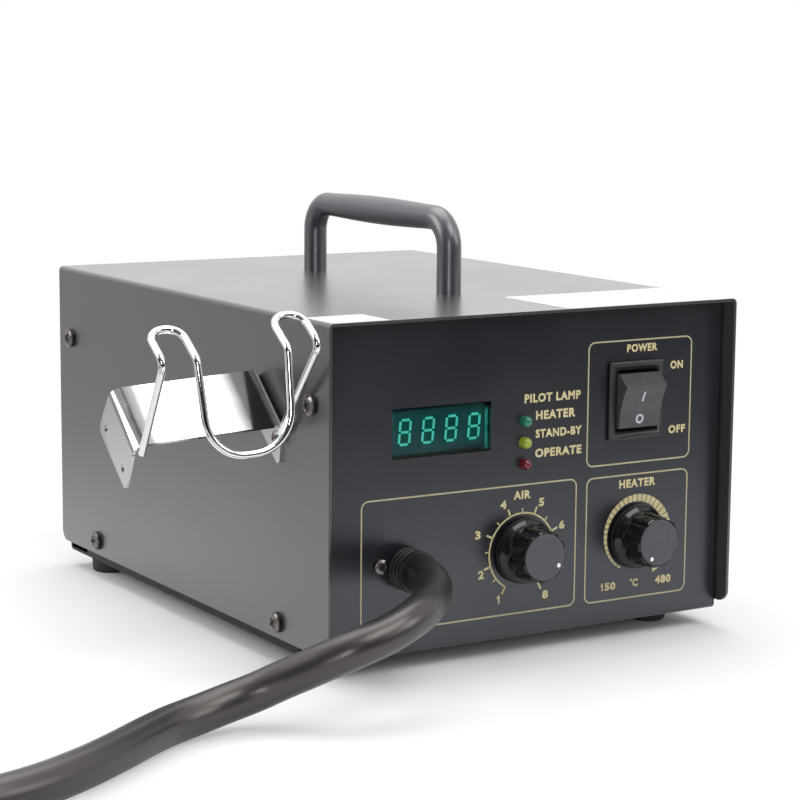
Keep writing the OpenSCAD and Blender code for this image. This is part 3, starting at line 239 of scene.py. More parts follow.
tree.links.new(around, tree.nodes["World Output"].inputs["Surface"])


def soft_lamp(name, place, target, width, height, power):
    """An area lamp at a place, turned to its target."""
    light = bpy.data.lights.new(name, "AREA")
    light.shape = "RECTANGLE"
    light.size, light.size_y = width, height
    light.energy = power
    lamp = bpy.data.objects.new(name, light)
    bpy.context.scene.collection.objects.link(lamp)
    lamp.location = place
    lamp.rotation_euler = (Vector(target) - Vector(place)).to_track_quat("-Z", "Y").to_euler()


soft_lamp("lamp_left", (-1.8, 0.8, 1.1), (0, 0, 0.05), 1.5, 1.2, 21)
soft_lamp("lamp_over", (0.1, 0.6, 2.1), (0, 0, 0.05), 2.2, 1.8, 27)
soft_lamp("lamp_right", (1.5, -1.5, 0.95), (0, 0, 0.08), 0.7, 0.7, 7)
soft_lamp("lamp_camera", (-0.95, -1.6, 0.35), (0, 0, 0.12), 0.22, 0.6, 5)
soft_lamp("lamp_front", (0.35, -1.3, 1.7), (0, -0.2, 0), 1.4, 1.0, 16)

# Cover and chassis
# Folded 1.2 mm sheet steel. The cover is powder coated in a satin dark grey; the chassis tray and
# the front panel, which are one piece, have a finer and blacker coat. Two bare paper labels are
# stuck on the cover's top, and the case stands on four moulded rubber buttons.
side_x, top_z, wall_x, panel_y = 93.5, 135, 91.5, -115.5
weld = 0.004 * MM  # corners of the node's loose triangles nearer than this are one


def smooth_copy(node, angle=32):
    """The CAD node's own mesh with its loose triangles joined, so that its round faces shade smoothly."""
    mesh = nodes[node].data.copy()
    mesh.name = node + "_shell"
    shell = bmesh.new()
    shell.from_mesh(mesh)
    bmesh.ops.remove_doubles(shell, verts=shell.verts, dist=weld)
    shell.to_mesh(mesh)
    shell.free()
    mesh.materials.clear()
    mesh.shade_smooth()
    mesh.set_sharp_from_angle(angle=radians(angle))
    return mesh


def dress(node, material, body, angle=32):
    """A smoothly shaded copy stands for the CAD node and takes its material."""
    piece = bpy.data.objects.new(node + "_piece", smooth_copy(node, angle))
    bpy.context.scene.collection.objects.link(piece)
    piece.data.materials.append(material)
    even = piece.modifiers.new("even_shading", "WEIGHTED_NORMAL")
    even.keep_sharp = True
    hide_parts(node)
    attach(piece, body)


def paint(name, color, roughness, speck, depth, sockets):
    """Powder coat: an even colour with a fine orange-peel surface."""
    material = finish_of(name, color, roughness, sockets=sockets)
    mottle(material, 420, tuple(c * 0.94 for c in color), tuple(c * 1.06 for c in color), 3)
    vary_roughness(material, 18, roughness - 0.03, roughness + 0.04, 5)
    emboss(material, speck, depth, 0.35, 2)
    return material


cover_paint = paint("cover_paint", (0.034, 0.0335, 0.034), 0.3, 1500, 0.00003,
                    {"Coat Weight": 1.0, "Coat Roughness": 0.3, "Coat IOR": 1.6})
panel_paint = paint("panel_paint", (0.0075, 0.0078, 0.0105), 0.28, 1700, 0.00002,
                    {"Specular Tint": (0.92, 0.93, 1.0, 1)})
# The tray's own side walls reflect far less than the panel: painted shade for the lip under the cover,
# which lies in shadow.
tree = panel_paint.node_tree
where = add_node(tree, "TexCoord").outputs["Object"]
off_middle = add_node(tree, "SeparateXYZ", {"Vector": where}).outputs["X"]
off_middle = add_node(tree, "Math", {0: off_middle}, "ABSOLUTE").outputs["Value"]
painted_side_shade = ranged(tree, off_middle, (wall_x - 0.3) * MM, (wall_x + 0.3) * MM, 1, 0.12)
feed(panel_paint, "Specular IOR Level", painted_side_shade)
dress("cover", cover_paint, "station")
dress("chassis_tray", panel_paint, "station")

label_paper = finish_of("label_paper", (0.68, 0.69, 0.68), 0.5)
mottle(label_paper, 260, (0.64, 0.65, 0.64), (0.72, 0.73, 0.72))


def into_piece(name, shape, material, body, smooth=False):
    """A finished bmesh as a piece of its own."""
    mesh = bpy.data.meshes.new(name)
    bmesh.ops.remove_doubles(shape, verts=shape.verts, dist=1e-7)
    bmesh.ops.recalc_face_normals(shape, faces=shape.faces)
    shape.to_mesh(mesh)
    shape.free()
    mesh.materials.append(material)
    if smooth:
        mesh.shade_smooth()
        mesh.set_sharp_from_angle(angle=radians(35))
    piece = bpy.data.objects.new(name, mesh)
    bpy.context.scene.collection.objects.link(piece)
    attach(piece, body)
    return piece


def block(shape, low, high):
    """A box between two corners in mm."""
    low, high = Vector(low) * MM, Vector(high) * MM
    place = Matrix.Translation((low + high) / 2)
    return bmesh.ops.create_cube(shape, size=1, matrix=place @ Matrix.Diagonal((*(high - low), 1)))["verts"]


label_front, label_t = -122, 0.08
labels = bmesh.new()
for x0, x1, y1 in ((-92, -67.5, -101), (12, 92.5, -76)):
    block(labels, (x0, label_front, top_z), (x1, y1, top_z + label_t))
into_piece("top_labels", labels, label_paper, "station")

foot_rubber = finish_of("foot_rubber", (0.018, 0.018, 0.019), 0.75)
mottle(foot_rubber, 300, (0.014, 0.014, 0.015), (0.03, 0.03, 0.031))
emboss(foot_rubber, 1800, 0.00005, 0.6)
dress("rubber_feet", foot_rubber, "station")

# Screws
# Zinc plated steel pan heads, cold headed with a cross recess and darkened by handling. Four on each
# side go through the cover, and a smaller one sits in the front panel.
zinc = finish_of("zinc_steel", (0.22, 0.2, 0.19), 0.3, 1.0)
mottle(zinc, 700, (0.13, 0.115, 0.108), (0.3, 0.275, 0.26))
vary_roughness(zinc, 500, 0.22, 0.42)
# The cross recess is not cut: a thin black cross on each head's flat is painted shade for its hollow.
recess_shade = finish_of("recess_shade", (0.008, 0.008, 0.008), 0.6)
mottle(recess_shade, 900, (0.005, 0.005, 0.005), (0.014, 0.013, 0.012))
for name in ("cover_screws", "case_screws", "holder_screws", "panel_screw", "panel_nuts", "grip_screws"):
    dress(name, zinc, "station")
dress("nozzle_screw", zinc, "nozzle_sleeve")
drive_faces, drive_crosses = bmesh.new(), bmesh.new()


def cross_recess(place, head_d, head_h, spin_deg):
    """The flat middle of a pan head with its dark cross, painted shade for the recess: place turns +Z out
    of the head.
    """
    flat_r, arm_w = 0.24 * head_d, 0.15 * head_d
    flat_t, cross_t, dome_angle = 0.7, 0.1, 0.245
    crown = head_h - head_d * (1 - cos(dome_angle)) - 0.02
    seat = place @ Matrix.Rotation(radians(spin_deg), 4, "Z")
    flat_at = seat @ Matrix.Translation((0, 0, (crown - flat_t / 2) * MM))
    bmesh.ops.create_cone(drive_faces, cap_ends=True, segments=24, radius1=flat_r * MM, radius2=flat_r * MM,
                          depth=flat_t * MM, matrix=flat_at)
    cross_at = seat @ Matrix.Translation((0, 0, crown * MM))
    for along, across in ((2 * flat_r, arm_w), (arm_w, 2 * flat_r)):
        arm = Matrix.Diagonal((along * MM, across * MM, cross_t * MM, 1))
        bmesh.ops.create_cube(drive_crosses, size=1, matrix=cross_at @ arm)


turns = (20, 65, 40, 5, 50, 30, 75, 12)
side_head, panel_head = (8, 2.7), (5.6, 2)  # diameter and height
screw_places = ((-109.5, 104), (109.5, 104), (-83.5, 17), (83.5, 17))
spots = [(side, y, z) for side in (-1, 1) for y, z in screw_places]
for (side, y, z), spin_deg in zip(spots, turns):
    place = Matrix.Translation(Vector((side * side_x, y, z)) * MM) @ Matrix.Rotation(side * pi / 2, 4, "Y")
    cross_recess(place, *side_head, spin_deg)
place = Matrix.Translation(Vector((-67.5, panel_y, 42)) * MM) @ Matrix.Rotation(pi / 2, 4, "X")
cross_recess(place, *panel_head, 35)
into_piece("screw_faces", drive_faces, zinc, "station")
into_piece("screw_crosses", drive_crosses, recess_shade, "station")

# Carry handle
# A steel rod with a swollen grip, bent twice and coated in a satin blue-black. A screw from inside the
# cover goes up into the bore of each post.
handle_paint = paint("handle_paint", (0.022, 0.025, 0.036), 0.33, 1400, 0.00002,
                     {"Specular IOR Level": 1.0, "Coat Weight": 0.6, "Coat Roughness": 0.4,
                      "Coat IOR": 1.8})
handle_half, grip_z, grip_half, grip_swell = 55, 165, 39, 0.8
bar_r, bend_r, bore_r, bore_end = 5, 12, 2.55, 148
bend_steps, grip_steps, bar_sides = 18, 40, 48
# Each station is (Y, Z, way up in degrees from +Y, radius), from the bore of one post to the middle.
post = [(-handle_half, bore_end, 90, bore_r), (-handle_half, top_z, 90, bore_r),
        (-handle_half, top_z, 90, bar_r)]
for i in range(bend_steps + 1):
    way = 90 - 90 * i / bend_steps
    post.append((bend_r - handle_half - bend_r * sin(radians(way)),
                 grip_z - bend_r + bend_r * cos(radians(way)), way, bar_r))
grip = []
for i in range(grip_steps + 1):
    along = i / grip_steps
    grip.append((grip_half * (2 * along - 1), grip_z, 0, bar_r + grip_swell * sin(pi * along)))
far_post = [(-y, z, -way, radius) for y, z, way, radius in reversed(post)]
handle_bar = bmesh.new()
bar_rings = []
for y, z, way, radius in post + grip + far_post:
    place = Matrix.Translation((0, y * MM, z * MM)) @ Matrix.Rotation(radians(90 + way), 4, "X")
    ring = bmesh.ops.create_circle(handle_bar, cap_ends=False, segments=bar_sides, radius=radius * MM,
                                   matrix=place)
    bar_rings.append(list({edge for vert in ring["verts"] for edge in vert.link_edges}))
for ring, following in zip(bar_rings, bar_rings[1:]):
    bmesh.ops.bridge_loops(handle_bar, edges=ring + following)
bmesh.ops.edgeloop_fill(handle_bar, edges=bar_rings[0] + bar_rings[-1])
handle = into_piece("carry_handle_piece", handle_bar, handle_paint, "station", smooth=True)
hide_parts("carry_handle")

# Holder
# A bracket folded from 1.2 mm steel, welded to a cradle that is bent from one 2.8 mm wire. Both are
# bright chrome over polished steel.
chrome = finish_of("chrome", (0.86, 0.865, 0.88), 0.06, 1.0)
vary_roughness(chrome, 90, 0.04, 0.1, 3)
plate_chrome = finish_of("plate_chrome", (0.86, 0.865, 0.88), 0.08, 1.0)
vary_roughness(plate_chrome, 90, 0.06, 0.13, 3)
for material in (chrome, plate_chrome):
    emboss(material, 120, 0.00002, 0.12, 2)
# Near both ends, next to the folds, the plate's colour is painted darker: painted reflection of a darker
# room in its ends.
tree = plate_chrome.node_tree
where = add_node(tree, "TexCoord").outputs["Object"]
along = add_node(tree, "SeparateXYZ", {"Vector": where}).outputs["X"]
drift = grain(plate_chrome, 60, 3, (1, 1, 1))
waver = add_node(tree, "Math", {0: drift, 1: 0.003, 2: along}, "MULTIPLY_ADD").outputs["Value"]
plate_end, plate_root = -0.1585, -0.0935
painted_end_reflection = add_node(tree, "ValToRGB", {"Fac": ranged(tree, waver, plate_end, plate_root, 0, 1)})
for end in (0, 1):
    painted_end_reflection.color_ramp.elements[end].position = end
    painted_end_reflection.color_ramp.elements[end].color = (0.6, 0.62, 0.6, 1)
for place, tone in ((0.11, 0.6), (0.145, 0.1), (0.2, 0.2), (0.27, 0.87), (0.68, 0.87), (0.76, 0.3),
                    (0.82, 0.07), (0.93, 0.06), (0.97, 0.6)):
    painted_end_reflection.color_ramp.elements.new(place).color = (tone, tone, tone * 1.03, 1)
feed(plate_chrome, "Base Color", painted_end_reflection.outputs["Color"])
dress("holder_bracket", plate_chrome, "station", 20)

# The wire's corners in the holder's own frame, from the wall's leg over both shoulders to the free leg.
holder_l, holder_w, plate_t, wire_r, knee = 61.2, 27.6, 1.2, 1.4, 47.9
front, mid = holder_w + wire_r + 0.1, (holder_l + 2) / 2
leg = mid - 1.7
inner = leg - 12.4
back, back_knee = 13.3, knee - 2.1
shoulder = [(leg, front + 1.2, knee), (leg, back, back_knee), (inner, back, back_knee),
            (inner, front + 1.2, knee), (inner - 1.5, front + 26.9, knee - 24.8)]
wire_corners = [(holder_l - plate_t - wire_r - 0.3, front, -3)]
wire_corners += [(mid + x, y, z) for x, y, z in shoulder]
wire_corners += [(mid - x, y, z) for x, y, z in reversed(shoulder)]
wire_corners += [(plate_t + wire_r + 0.4, front, -3)]
wire_bends = [0, 4, 6, 6, 4, 15, 15, 4, 6, 6, 4, 0]
in_holder = (Matrix.Translation((-side_x, -71, 112.5)) @ Matrix.Rotation(radians(41), 4, "X")
             @ Matrix.Rotation(radians(-4.6), 4, "Y"))


def bent_path(corners, bends, steps):
    """Points along a rod's axis, with an arc of the given radius at each corner."""
    path = [corners[0]]
    for before, corner, after, bend in zip(corners, corners[1:], corners[2:], bends[1:]):
        a, b = (before - corner).normalized(), (after - corner).normalized()
        half = acos(a.dot(b)) / 2
        centre = corner + (a + b).normalized() * bend / sin(half)
        start = corner + a * bend / tan(half) - centre
        stop = corner + b * bend / tan(half) - centre
        for i in range(steps + 1):
            path.append(centre + start.slerp(stop, i / steps) * bend)
    return path + [corners[-1]]


wire_axis = bpy.data.curves.new("holder_wire_axis", "CURVE")
wire_axis.dimensions = "3D"
spline = wire_axis.splines.new("POLY")
wire_path = bent_path([in_holder @ Vector((-x, -y, z)) for x, y, z in wire_corners], wire_bends, 10)
spline.points.add(len(wire_path) - 1)
for point, place in zip(spline.points, wire_path):
    point.co = (*(place * MM), 1)
wire_axis.bevel_depth = wire_r * MM
wire_axis.bevel_resolution = 6
wire_axis.use_fill_caps = True
wire_rod = bpy.data.objects.new("holder_wire_rod", wire_axis)
bpy.context.scene.collection.objects.link(wire_rod)
bpy.context.view_layer.update()
wire_mesh = bpy.data.meshes.new_from_object(wire_rod)
bpy.data.objects.remove(wire_rod)
wire_shape = bmesh.new()
wire_shape.from_mesh(wire_mesh)
bpy.data.meshes.remove(wire_mesh)
wire = into_piece("holder_wire_piece", wire_shape, chrome, "station", smooth=True)
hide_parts("holder_wire")

# Display
# A green tinted acrylic window pushed into the panel from behind, and the four-digit block behind
# it: slanted digits of pale segments, each on its own dark green field of painted glow.
window_tint = finish_of("window", (0.34, 0.74, 0.72), 0.04,
                        sockets={"Transmission Weight": 1.0, "IOR": 1.25})
vary_roughness(window_tint, 40, 0.02, 0.07)
dress("display_window", window_tint, "station")
display_case = finish_of("display_case", (0.085, 0.1, 0.11), 0.4)
mottle(display_case, 200, (0.076, 0.09, 0.1), (0.095, 0.112, 0.123))
dress("digit_display", display_case, "station")
# Painted glow: the dark green field round each digit stands for the light its segments spread.
digit_glow_field = finish_of("digit_glow_field", (0.0, 0.12, 0.1), 0.45)
mottle(digit_glow_field, 300, (0.0, 0.1, 0.085), (0.002, 0.14, 0.115))
segment_glow = finish_of("segment_glow", (0.3, 0.85, 0.75), 0.5,
                         sockets={"Emission Color": (0.35, 0.85, 0.72, 1), "Emission Strength": 0.3})
mottle(segment_glow, 500, (0.26, 0.78, 0.68), (0.36, 0.9, 0.8))
digit_w, digit_h, slant, bar_w, bar_gap, field_margin, edge_round = 4.5, 9.2, 0.085, 1.0, 0.55, 0.9, 0.3
half_w, half_h = digit_w / 2 + field_margin, digit_h / 2 + field_margin
first_digit_x, digit_pitch, display_y, digits_z = -55.8, 10.23, -112.5, 91.4
field_t, bar_t, bar_end = 0.04, 0.1, 0.4
fields, segments = bmesh.new(), bmesh.new()
level_bars = [(-digit_w / 2 + bar_gap, z - bar_w / 2, digit_w / 2 - bar_gap, z + bar_w / 2)
              for z in (-digit_h / 2, 0, digit_h / 2)]
upright_bars = [(x - bar_w / 2, low + bar_end, x + bar_w / 2, low + digit_h / 2 - bar_end)
                for x in (-digit_w / 2, digit_w / 2) for low in (-digit_h / 2, 0)]
for column in range(4):
    lean = Matrix(((1, 0, slant, 0), (0, 1, 0, 0), (0, 0, 1, 0), (0, 0, 0, 1)))
    lean.translation = Vector((first_digit_x + digit_pitch * column, display_y, digits_z)) * MM
    field = block(fields, (-half_w, -field_t, -half_h), (half_w, field_t / 2, half_h))
    bmesh.ops.transform(fields, matrix=lean, verts=field)
    for x0, z0, x1, z1 in level_bars + upright_bars:
        bar = block(segments, (x0, -bar_t, z0), (x1, 0, z1))
        bmesh.ops.transform(segments, matrix=lean, verts=bar)
upright = [e for e in segments.edges if abs(e.verts[0].co.y - e.verts[1].co.y) > bar_t / 2 * MM]
bmesh.ops.bevel(segments, geom=upright, offset=edge_round * MM, affect="EDGES", segments=2, profile=0.5,
                material=-1)
into_piece("digit_fields", fields, digit_glow_field, "station")
into_piece("digit_segments", segments, segment_glow, "station")
# The block's right edge is bare pale plastic, which shows bright green through the window.
edge_plastic = finish_of("display_edge", (0.14, 0.55, 0.42), 0.4)
mottle(edge_plastic, 420, (0.12, 0.5, 0.4), (0.5, 0.95, 0.85), 3)
edge_strip = bmesh.new()
block(edge_strip, (-20.2, -112.6, 82.2), (-18.5, -108, 98.6))
bmesh.ops.bevel(edge_strip, geom=edge_strip.edges[:], offset=edge_round * MM, affect="EDGES", segments=2,
                profile=0.5, material=-1)
into_piece("display_edge", edge_strip, edge_plastic, "station")

# Pilot lamps
# Three small diodes, unlit: green, yellow-green and dark red. They are cast in diffusing epoxy, which
# lets some light in, and reach through the panel from the board behind it.
for node, slot, dark, light in (
    ("green_lamp", "lamp_green", (0.004, 0.09, 0.055), (0.01, 0.16, 0.1)),
    ("yellow_lamp", "lamp_yellow", (0.2, 0.26, 0.02), (0.32, 0.38, 0.04)),
    ("red_lamp", "lamp_red", (0.07, 0.001, 0.005), (0.13, 0.002, 0.01)),
):
    epoxy = finish_of(slot, light, 0.1,
                      sockets={"Coat Weight": 0.5, "Subsurface Weight": 0.2, "Subsurface Scale": 0.002})
    mottle(epoxy, 300, dark, light)
    dress(node, epoxy, "station")

# Rocker switch
# Black nylon housing with a bevelled bezel and a lighter rocker that tilts in it. The bar and the
# ring are pale grey ink on the rocker's hollow front face.
switch_plastic = finish_of("switch_plastic", (0.022, 0.0225, 0.027), 0.4)
mottle(switch_plastic, 260, (0.019, 0.0195, 0.023), (0.026, 0.0265, 0.031))
emboss(switch_plastic, 2200, 0.00002, 0.4)
dress("switch_housing", switch_plastic, "station")
rocker_plastic = finish_of("rocker_plastic", (0.06, 0.06, 0.066), 0.36, sockets={"Specular IOR Level": 0.3})
mottle(rocker_plastic, 240, (0.055, 0.055, 0.06), (0.067, 0.067, 0.073))
emboss(rocker_plastic, 2400, 0.00002, 0.4)
dress("switch_rocker", rocker_plastic, "rocker", 25)
# The marks are drawn flat, in mm from the rocker's middle: the bar above it and the ring below.
mark_low, mark_high = -0.12, 0.06
bar_half, bar_foot, bar_head, ring_r, ring_bore, ring_drop = 0.42, 1.9, 6.2, 1.9, 1.12, 5.4
marks = bmesh.new()
block(marks, (-bar_half, bar_foot, mark_low), (bar_half, bar_head, mark_high))
long_edges = [e for e in marks.edges if abs(e.verts[0].co.y - e.verts[1].co.y) > 0.001]
bmesh.ops.subdivide_edges(marks, edges=long_edges, cuts=8, use_grid_fill=True)


def thicken(shape, height):
    """Flat faces in an XY plane raised to a height in mm."""
    raised = bmesh.ops.extrude_face_region(shape, geom=shape.faces[:])
    top = [v for v in raised["geom"] if isinstance(v, bmesh.types.BMVert)]
    bmesh.ops.translate(shape, verts=top, vec=(0, 0, height * MM))


def add_to(shape, part):
    """Moves a finished bmesh into another one."""
    mesh = bpy.data.meshes.new("part")
    part.to_mesh(mesh)
    part.free()
    shape.from_mesh(mesh)
    bpy.data.meshes.remove(mesh)


ring_mark = bmesh.new()
rim, bore = [ring_mark.verts.new((r * MM, 0, mark_low * MM)) for r in (ring_r, ring_bore)]
across_ring = [ring_mark.edges.new((rim, bore)), rim, bore]
bmesh.ops.spin(ring_mark, geom=across_ring, cent=(0, 0, 0), axis=(0, 0, 1), angle=2 * pi, steps=40,
               use_merge=True)
thicken(ring_mark, mark_high - mark_low)
bmesh.ops.translate(ring_mark, verts=ring_mark.verts, vec=(0, -ring_drop * MM, 0))
add_to(marks, ring_mark)
# The flat marks are laid on the rocker's cylindrical hollow and tilted with it.
hollow_r, hollow_axis, tilt = 32.6, 39.147, radians(16)
rocker_x, rocker_y, rocker_z = 48.8, -114, 96.5
for vert in marks.verts:
    across, rise, lift = vert.co / MM
    out = hollow_axis - sqrt(hollow_r ** 2 - rise * rise) + lift
    vert.co = Vector((rocker_x + across, rocker_y - (rise * sin(tilt) + out * cos(tilt)),
                      rocker_z + rise * cos(tilt) - out * sin(tilt))) * MM
rocker_ink = finish_of("rocker_ink", (0.42, 0.43, 0.48), 0.5)
mottle(rocker_ink, 900, (0.36, 0.37, 0.41), (0.46, 0.47, 0.52))
into_piece("rocker_marks", marks, rocker_ink, "rocker")

# Knobs
# Fluted knobs moulded in glossy black phenolic, each with a matt grey cap pressed into its front and
# one white dot of paint that points at the scale.
knob_plastic = finish_of("knob_plastic", (0.005, 0.005, 0.006), 0.1)
mottle(knob_plastic, 120, (0.004, 0.004, 0.005), (0.007, 0.007, 0.009))
vary_roughness(knob_plastic, 60, 0.08, 0.14)
cap_plastic = finish_of("cap_plastic", (0.056, 0.058, 0.068), 0.5)
mottle(cap_plastic, 500, (0.051, 0.053, 0.062), (0.063, 0.065, 0.076))
emboss(cap_plastic, 2500, 0.00002, 0.4)
brass = finish_of("shaft_metal", (0.55, 0.42, 0.2), 0.3, 1.0)
vary_roughness(brass, 800, 0.2, 0.4, 4, (1, 0.05, 1))
white_ink = finish_of("white_ink", (0.78, 0.79, 0.82), 0.5)
mottle(white_ink, 900, (0.68, 0.69, 0.72), (0.84, 0.85, 0.87))
air_x, heater_x, knob_z, cap_front_y = -3.7, 50.8, 41.5, -131.5
dot_reach, dot_r, dot_face_r, dot_t = 7.2, 0.9, 0.75, 0.16
for side, body, knob_x, pointer in (("air", "air_control", air_x, -30),
                                    ("heater", "heater_control", heater_x, 240)):
    dress(side + "_knob", knob_plastic, body, 28)
    dress(side + "_knob_cap", cap_plastic, body)
    dress(side + "_shaft", brass, body)
    dot = bmesh.new()
    aim = radians(pointer)
    dot_at = Vector((knob_x + dot_reach * cos(aim), cap_front_y, knob_z + dot_reach * sin(aim))) * MM
    place = Matrix.Translation(dot_at) @ Matrix.Rotation(pi / 2, 4, "X")
    bmesh.ops.create_cone(dot, cap_ends=True, segments=24, radius1=dot_r * MM, radius2=dot_face_r * MM,
                          depth=dot_t * MM, matrix=place)
    into_piece(side + "_dot", dot, white_ink, body)

# Panel print
# Khaki gold silk-screen ink on the panel: three rounded frames, the two scales and the plain words
# and numbers that name the controls.
gold_ink = finish_of("gold_ink", (0.5, 0.43, 0.22), 0.45)
mottle(gold_ink, 600, (0.43, 0.37, 0.19), (0.56, 0.49, 0.26))
line_ink = finish_of("line_ink", (0.36, 0.31, 0.19), 0.45)
mottle(line_ink, 600, (0.31, 0.27, 0.165), (0.41, 0.355, 0.22))
ink, frame_corner, frame_width = 0.05, 3.2, 0.62
to_panel = Matrix.Translation((0, panel_y * MM, 0)) @ Matrix.Rotation(pi / 2, 4, "X")


def rounded_frame(shape, x0, x1, z0, z1):
    """A printed line round a rectangle with round corners."""
    frame_line = bmesh.new()
    middle = Matrix.Translation(((x0 + x1) / 2 * MM, (z0 + z1) / 2 * MM, 0))
    bmesh.ops.create_grid(frame_line, x_segments=1, y_segments=1, size=0.5,
                          matrix=middle @ Matrix.Diagonal(((x1 - x0) * MM, (z1 - z0) * MM, 1, 1)))
    bmesh.ops.bevel(frame_line, geom=frame_line.verts[:], offset=frame_corner * MM, affect="VERTICES",
                    segments=8, profile=0.5, material=-1)
    inside = frame_line.faces[:]
    bmesh.ops.inset_region(frame_line, faces=inside, thickness=frame_width * MM, use_boundary=True)
    bmesh.ops.delete(frame_line, geom=inside, context="FACES_ONLY")
    thicken(frame_line, ink)
    add_to(shape, frame_line)


def arc_band(shape, x, z, inner_r, outer_r, start, stop, steps):
    """Part of a ring about (x, z), from one angle to another, clockwise."""
    band = bmesh.new()
    turn = radians(start)
    ends = [band.verts.new((r * cos(turn) * MM, r * sin(turn) * MM, 0)) for r in (inner_r, outer_r)]
    bmesh.ops.spin(band, geom=[band.edges.new(ends), *ends], cent=(0, 0, 0), axis=(0, 0, -1),
                   angle=radians(start - stop), steps=steps, use_merge=False)
    thicken(band, ink)
    bmesh.ops.translate(band, verts=band.verts, vec=(x * MM, z * MM, 0))
    add_to(shape, band)


def stroke(shape, x, z, length, width, angle):
    """A straight printed stroke with its middle at (x, z)."""
    place = Matrix.Translation((x * MM, z * MM, ink / 2 * MM)) @ Matrix.Rotation(radians(angle), 4, "Z")
    size = Matrix.Diagonal((length * MM, width * MM, ink * MM, 1))
    bmesh.ops.create_cube(shape, size=1, matrix=place @ size)


lines = bmesh.new()
for x0, x1, z0, z1 in ((26, 77, 71, 120.5), (26.3, 76.5, 16.2, 66.8), (-76, 21.8, 16.4, 67.4)):
    rounded_frame(lines, x0, x1, z0, z1)
bmesh.ops.transform(lines, matrix=to_panel, verts=lines.verts)
into_piece("panel_frames", lines, line_ink, "station")
scales = bmesh.new()
air_scale_z = knob_z - 0.6
first_angle, air_sweep, air_marks = 240, 300, 14
scale_r, scale_w, mark_r = 14.85, 0.65, 15.2
arc_band(scales, air_x, air_scale_z, scale_r, scale_r + scale_w, first_angle, first_angle - air_sweep, 72)
for mark in range(air_marks + 1):
    length, width = (1.9, 0.5) if mark % 2 else (3.1, 0.75)
    angle = first_angle - air_sweep * mark / air_marks
    reach, turn = mark_r + length / 2, radians(angle)
    stroke(scales, air_x + reach * cos(turn), air_scale_z + reach * sin(turn), length, width, angle)
wedges, wedge_step, wedge_width, wedge_r, least_wedge, most_wedge = 31, 8.5, 7.2, 13.9, 0.7, 4.4
for i in range(wedges):
    start = first_angle - wedge_step * i
    outer_r = wedge_r + least_wedge + (most_wedge - least_wedge) * (i + 0.5) / wedges
    arc_band(scales, heater_x, knob_z, wedge_r, outer_r, start, start - wedge_width, 2)
end_x, end_z, end_r, end_turn = 60.8, 27.2, 1.9, radians(-93)
end_mark = bmesh.new()
place = Matrix.Translation((end_x * MM, end_z * MM, 0)) @ Matrix.Rotation(end_turn, 4, "Z")
bmesh.ops.create_circle(end_mark, cap_ends=True, segments=3, radius=end_r * MM, matrix=place)
thicken(end_mark, ink)
add_to(scales, end_mark)
# The flags of the two ones whose stems are among the words.
flag_l, flag_w, flag_angle = 1.15, 0.55, 40
for x, z in ((-14.7, 23.9), (34.75, 22.9)):
    stroke(scales, x, z, flag_l, flag_w, flag_angle)
bmesh.ops.transform(scales, matrix=to_panel, verts=scales.verts)
into_piece("panel_scales", scales, gold_ink, "station")

# Each word has its left and right end, the height of its middle and the height of its letters in mm.
cap_share, bolder, letter_space = 0.72, 0.06, 1.14
words = bmesh.new()
for text, x0, x1, z, height in (
    ("POWER", 44.7, 59.6, 117.0, 3.2), ("ON", 66.3, 72.6, 109.1, 3.3), ("OFF", 66.1, 74.5, 83.1, 3.3),
    ("PILOT LAMP", -3.6, 22.8, 100.5, 3.5), ("HEATER", 1.8, 20.4, 93.7, 3.5),
    ("STAND-BY", 1.8, 23.6, 86.5, 3.4), ("OPERATE", 1.7, 23.6, 78.9, 3.5), ("AIR", -8.0, 0.0, 63.2, 3.3),
    ("HEATER", 42.3, 60.3, 62.9, 3.4), ("50", 36.3, 41.6, 22.1, 3.2), ("1", 34.8, 35.4, 22.1, 3.2),
    ("°", 48.7, 49.9, 23.5, 1.2), ("C", 50.0, 52.7, 22.3, 3.2), ("480", 61.3, 69.2, 22.2, 3.3),
    ("1", -14.5, -13.8, 23.1, 3.2), ("2", -23.8, -21.2, 33.7, 3.3), ("3", -25.5, -22.9, 49.4, 3.3),
    ("4", -14.0, -11.2, 60.1, 3.3), ("5", 3.8, 6.4, 59.5, 3.3), ("6", 13.6, 16.2, 49.6, 3.3),
    ("7", 14.3, 16.9, 33.7, 3.3), ("8", 6.2, 8.9, 22.6, 3.3),
):
    font = bpy.data.curves.new("panel_words", "FONT")
    font.body = text
    font.size = height / cap_share * MM
    font.offset = bolder * height * MM
    font.extrude = ink / 2 * MM
    font.resolution_u = 3
    font.space_character = letter_space
    letters = bpy.data.objects.new("panel_words", font)
    bpy.context.scene.collection.objects.link(letters)
    bpy.context.view_layer.update()
    mesh = bpy.data.meshes.new_from_object(letters)
    bpy.data.objects.remove(letters)
    left = min(v.co.x for v in mesh.vertices)
    wide = max(v.co.x for v in mesh.vertices) - left
    low = min(v.co.y for v in mesh.vertices)
    tall = max(v.co.y for v in mesh.vertices) - low
    fit = Matrix.Diagonal(((x1 - x0) * MM / wide, height * MM / tall, 1, 1))
    middle = Matrix.Translation((-left, -low - tall / 2, ink / 2 * MM))
    mesh.transform(to_panel @ Matrix.Translation((x0 * MM, z * MM, 0)) @ fit @ middle)
    words.from_mesh(mesh)
    bpy.data.meshes.remove(mesh)
into_piece("panel_words", words, gold_ink, "station")

# Hose gland
# A ribbed collar moulded in nylon, black like the hose that comes out of it. Its thread goes through
# the panel.
gland_plastic = finish_of("gland_plastic", (0.014, 0.014, 0.016), 0.35)
mottle(gland_plastic, 260, (0.011, 0.011, 0.013), (0.02, 0.02, 0.022))
emboss(gland_plastic, 1900, 0.00003, 0.4)
dress("hose_gland", gland_plastic, "station")

